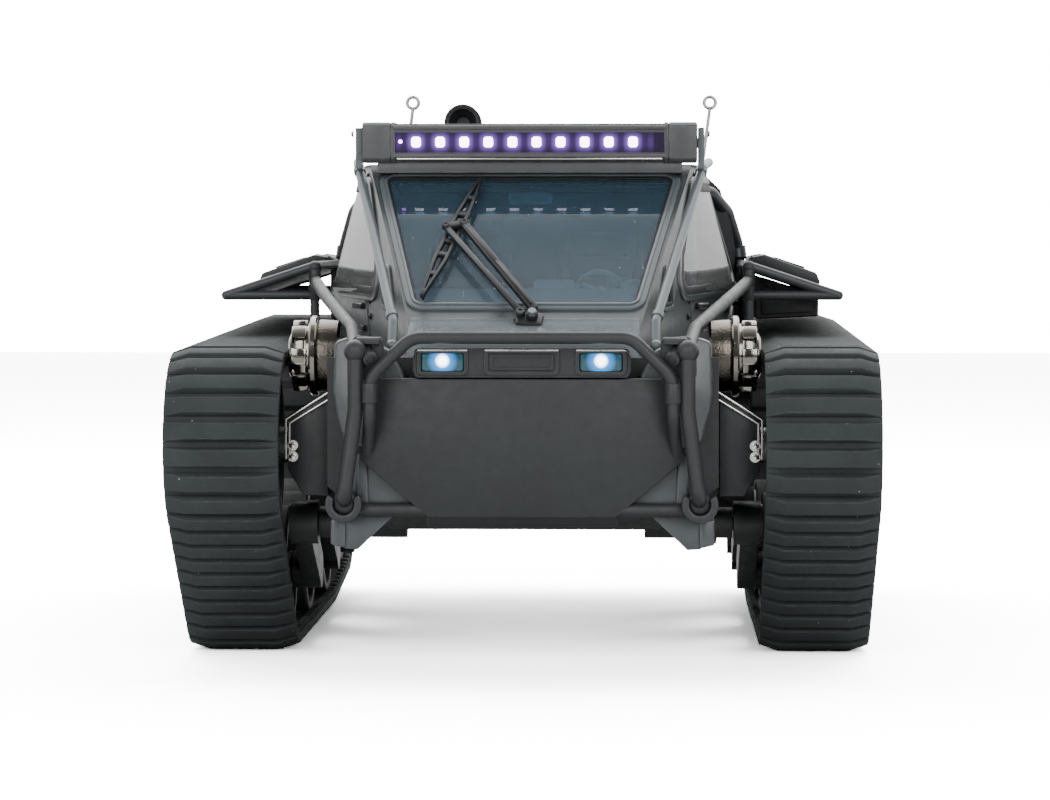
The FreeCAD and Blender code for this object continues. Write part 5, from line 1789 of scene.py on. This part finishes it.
FRONT_LIGHT = 0.28
BACK_LIGHT = 3.0
LIGHT_SPAN = (-0.35, 0.85)
LOW_SHARE = 0.45
LOW_SPAN = 0.35
WHITE_OUT = 16.0
FLOOR_GREY = 0.6
FLOOR_HALF = 4.0
LENS = 127.1
FILM_WIDTH = 36
CAMERA_PLACE = (0.0443, -1.576, 0.1614)
CAMERA_DOWN = 2.39
CAMERA_TURN = 1.78
LIGHT_AIM = (0, -0.03, 0.1)
SOFT_LIGHTS = (
    ("overhead", (0, 0.88, 1.45), 2.2, 1.6, 32),
    ("left front", (0.8, -1.7, 0.9), 0.9, 1.2, 17),
    ("right front", (-0.8, -1.6, 0.8), 0.9, 1.2, 15),
)


def floor_finish():
    """Pale matte floor that the camera sees overexposed while its shadows stay soft."""
    material = bpy.data.materials.new("studio floor")
    material.use_nodes = True
    tree = material.node_tree
    tree.nodes.remove(tree.nodes["Principled BSDF"])
    matte = tree.nodes.new("ShaderNodeBsdfDiffuse")
    shade = tree.nodes.new("ShaderNodeMix")
    shade.data_type = "RGBA"
    shade.inputs[6].default_value = (FLOOR_GREY,) * 3 + (1,)
    shade.inputs[7].default_value = (WHITE_OUT * 0.5,) * 3 + (1,)
    tree.links.new(tree.nodes.new("ShaderNodeLightPath").outputs["Is Camera Ray"], shade.inputs[0])
    tree.links.new(shade.outputs[2], matte.inputs[0])
    tree.links.new(matte.outputs[0], tree.nodes["Material Output"].inputs[0])
    return material


def soft_light(name, place, width, height, power):
    """Large soft lamp aimed at the car."""
    lamp = bpy.data.lights.new(name, "AREA")
    lamp.shape = "RECTANGLE"
    lamp.size = width
    lamp.size_y = height
    lamp.energy = power
    item = bpy.data.objects.new(name, lamp)
    item.location = place
    item.rotation_euler = (Vector(LIGHT_AIM) - Vector(place)).to_track_quat("-Z", "Y").to_euler()
    bpy.context.scene.collection.objects.link(item)


def make_floor():
    """Wide level floor under the car."""
    ground = bmesh.new()
    bmesh.ops.create_grid(ground, x_segments=1, y_segments=1, size=FLOOR_HALF)
    mesh = bpy.data.meshes.new("floor")
    ground.to_mesh(mesh)
    ground.free()
    mesh.materials.append(floor_finish())
    floor = bpy.data.objects.new("floor", mesh)
    bpy.context.scene.collection.objects.link(floor)


def make_world():
    """White backdrop whose light comes mostly from behind the car and from above."""
    world = bpy.data.worlds.new("studio")
    world.use_nodes = True
    tree = world.node_tree
    backdrop = tree.nodes["Background"]
    backdrop.inputs[0].default_value = (1, 1, 1, 1)
    way = tree.nodes.new("ShaderNodeSeparateXYZ")
    tree.links.new(tree.nodes.new("ShaderNodeTexCoord").outputs["Generated"], way.inputs[0])
    around = tree.nodes.new("ShaderNodeMapRange")
    around.interpolation_type = "SMOOTHSTEP"
    for index, number in zip((1, 2, 3, 4), (*LIGHT_SPAN, FRONT_LIGHT, BACK_LIGHT)):
        around.inputs[index].default_value = number
    tree.links.new(way.outputs[1], around.inputs[0])
    above = tree.nodes.new("ShaderNodeMapRange")
    above.inputs[2].default_value = LOW_SPAN
    above.inputs[3].default_value = LOW_SHARE
    tree.links.new(way.outputs[2], above.inputs[0])
    level = tree.nodes.new("ShaderNodeMath")
    level.operation = "MULTIPLY"
    tree.links.new(around.outputs[0], level.inputs[0])
    tree.links.new(above.outputs[0], level.inputs[1])
    seen = tree.nodes.new("ShaderNodeMapRange")
    seen.inputs[4].default_value = WHITE_OUT
    tree.links.new(tree.nodes.new("ShaderNodeLightPath").outputs["Is Camera Ray"], seen.inputs[0])
    tree.links.new(level.outputs[0], seen.inputs[3])
    tree.links.new(seen.outputs[0], backdrop.inputs[1])
    bpy.context.scene.world = world


def make_camera():
    """Camera in front of the car, a little above its middle."""
    view = bpy.data.cameras.new("camera")
    view.lens = LENS
    view.sensor_width = FILM_WIDTH
    camera = bpy.data.objects.new("camera", view)
    camera.location = CAMERA_PLACE
    camera.rotation_euler = (math.radians(90 - CAMERA_DOWN), 0, math.radians(CAMERA_TURN))
    bpy.context.scene.collection.objects.link(camera)
    bpy.context.scene.camera = camera


class CAR_OT_stage(bpy.types.Operator):
    """Pale floor, soft light and camera"""

    bl_idname = "tracked_car.stage"
    bl_label = "Stage"

    def execute(self, context):
        make_floor()
        make_world()
        for light in SOFT_LIGHTS:
            soft_light(*light)
        make_camera()
        return {"FINISHED"}


class CAR_PT_panel(bpy.types.Panel):
    """Lists the steps that build the car"""

    bl_idname = "CAR_PT_panel"
    bl_label = "Tracked Car"
    bl_space_type = "VIEW_3D"
    bl_region_type = "UI"
    bl_category = "Tracked Car"

    def draw(self, context):
        for group in (context.scene.tracked_car_sizes, context.scene.tracked_car_colours):
            for key in group.__annotations__:
                self.layout.prop(group, key)
        for step in STEPS:
            self.layout.operator(step.bl_idname)


STEPS = (CAR_OT_belts, CAR_OT_wheels, CAR_OT_arms, CAR_OT_idler_mounts, CAR_OT_nose, CAR_OT_lamps,
         CAR_OT_windshield, CAR_OT_wiper, CAR_OT_cabin_sides, CAR_OT_roof, CAR_OT_light_bar, CAR_OT_fenders,
         CAR_OT_interior, CAR_OT_rear_cowl, CAR_OT_hull, CAR_OT_stage)
CLASSES = (CarSizes, CarColours, *STEPS, CAR_PT_panel)


def register():
    """Add the settings, operators and panel."""
    for item in CLASSES:
        bpy.utils.register_class(item)
    bpy.types.Scene.tracked_car_sizes = bpy.props.PointerProperty(type=CarSizes)
    bpy.types.Scene.tracked_car_colours = bpy.props.PointerProperty(type=CarColours)


def unregister():
    """Remove the settings, operators and panel."""
    del bpy.types.Scene.tracked_car_colours
    del bpy.types.Scene.tracked_car_sizes
    for item in reversed(CLASSES):
        bpy.utils.unregister_class(item)


def main():
    """Build the whole car."""
    register()
    make_finishes()
    for step in STEPS:
        group, name = step.bl_idname.split(".")
        getattr(getattr(bpy.ops, group), name)()


if __name__ == "__main__":
    main()
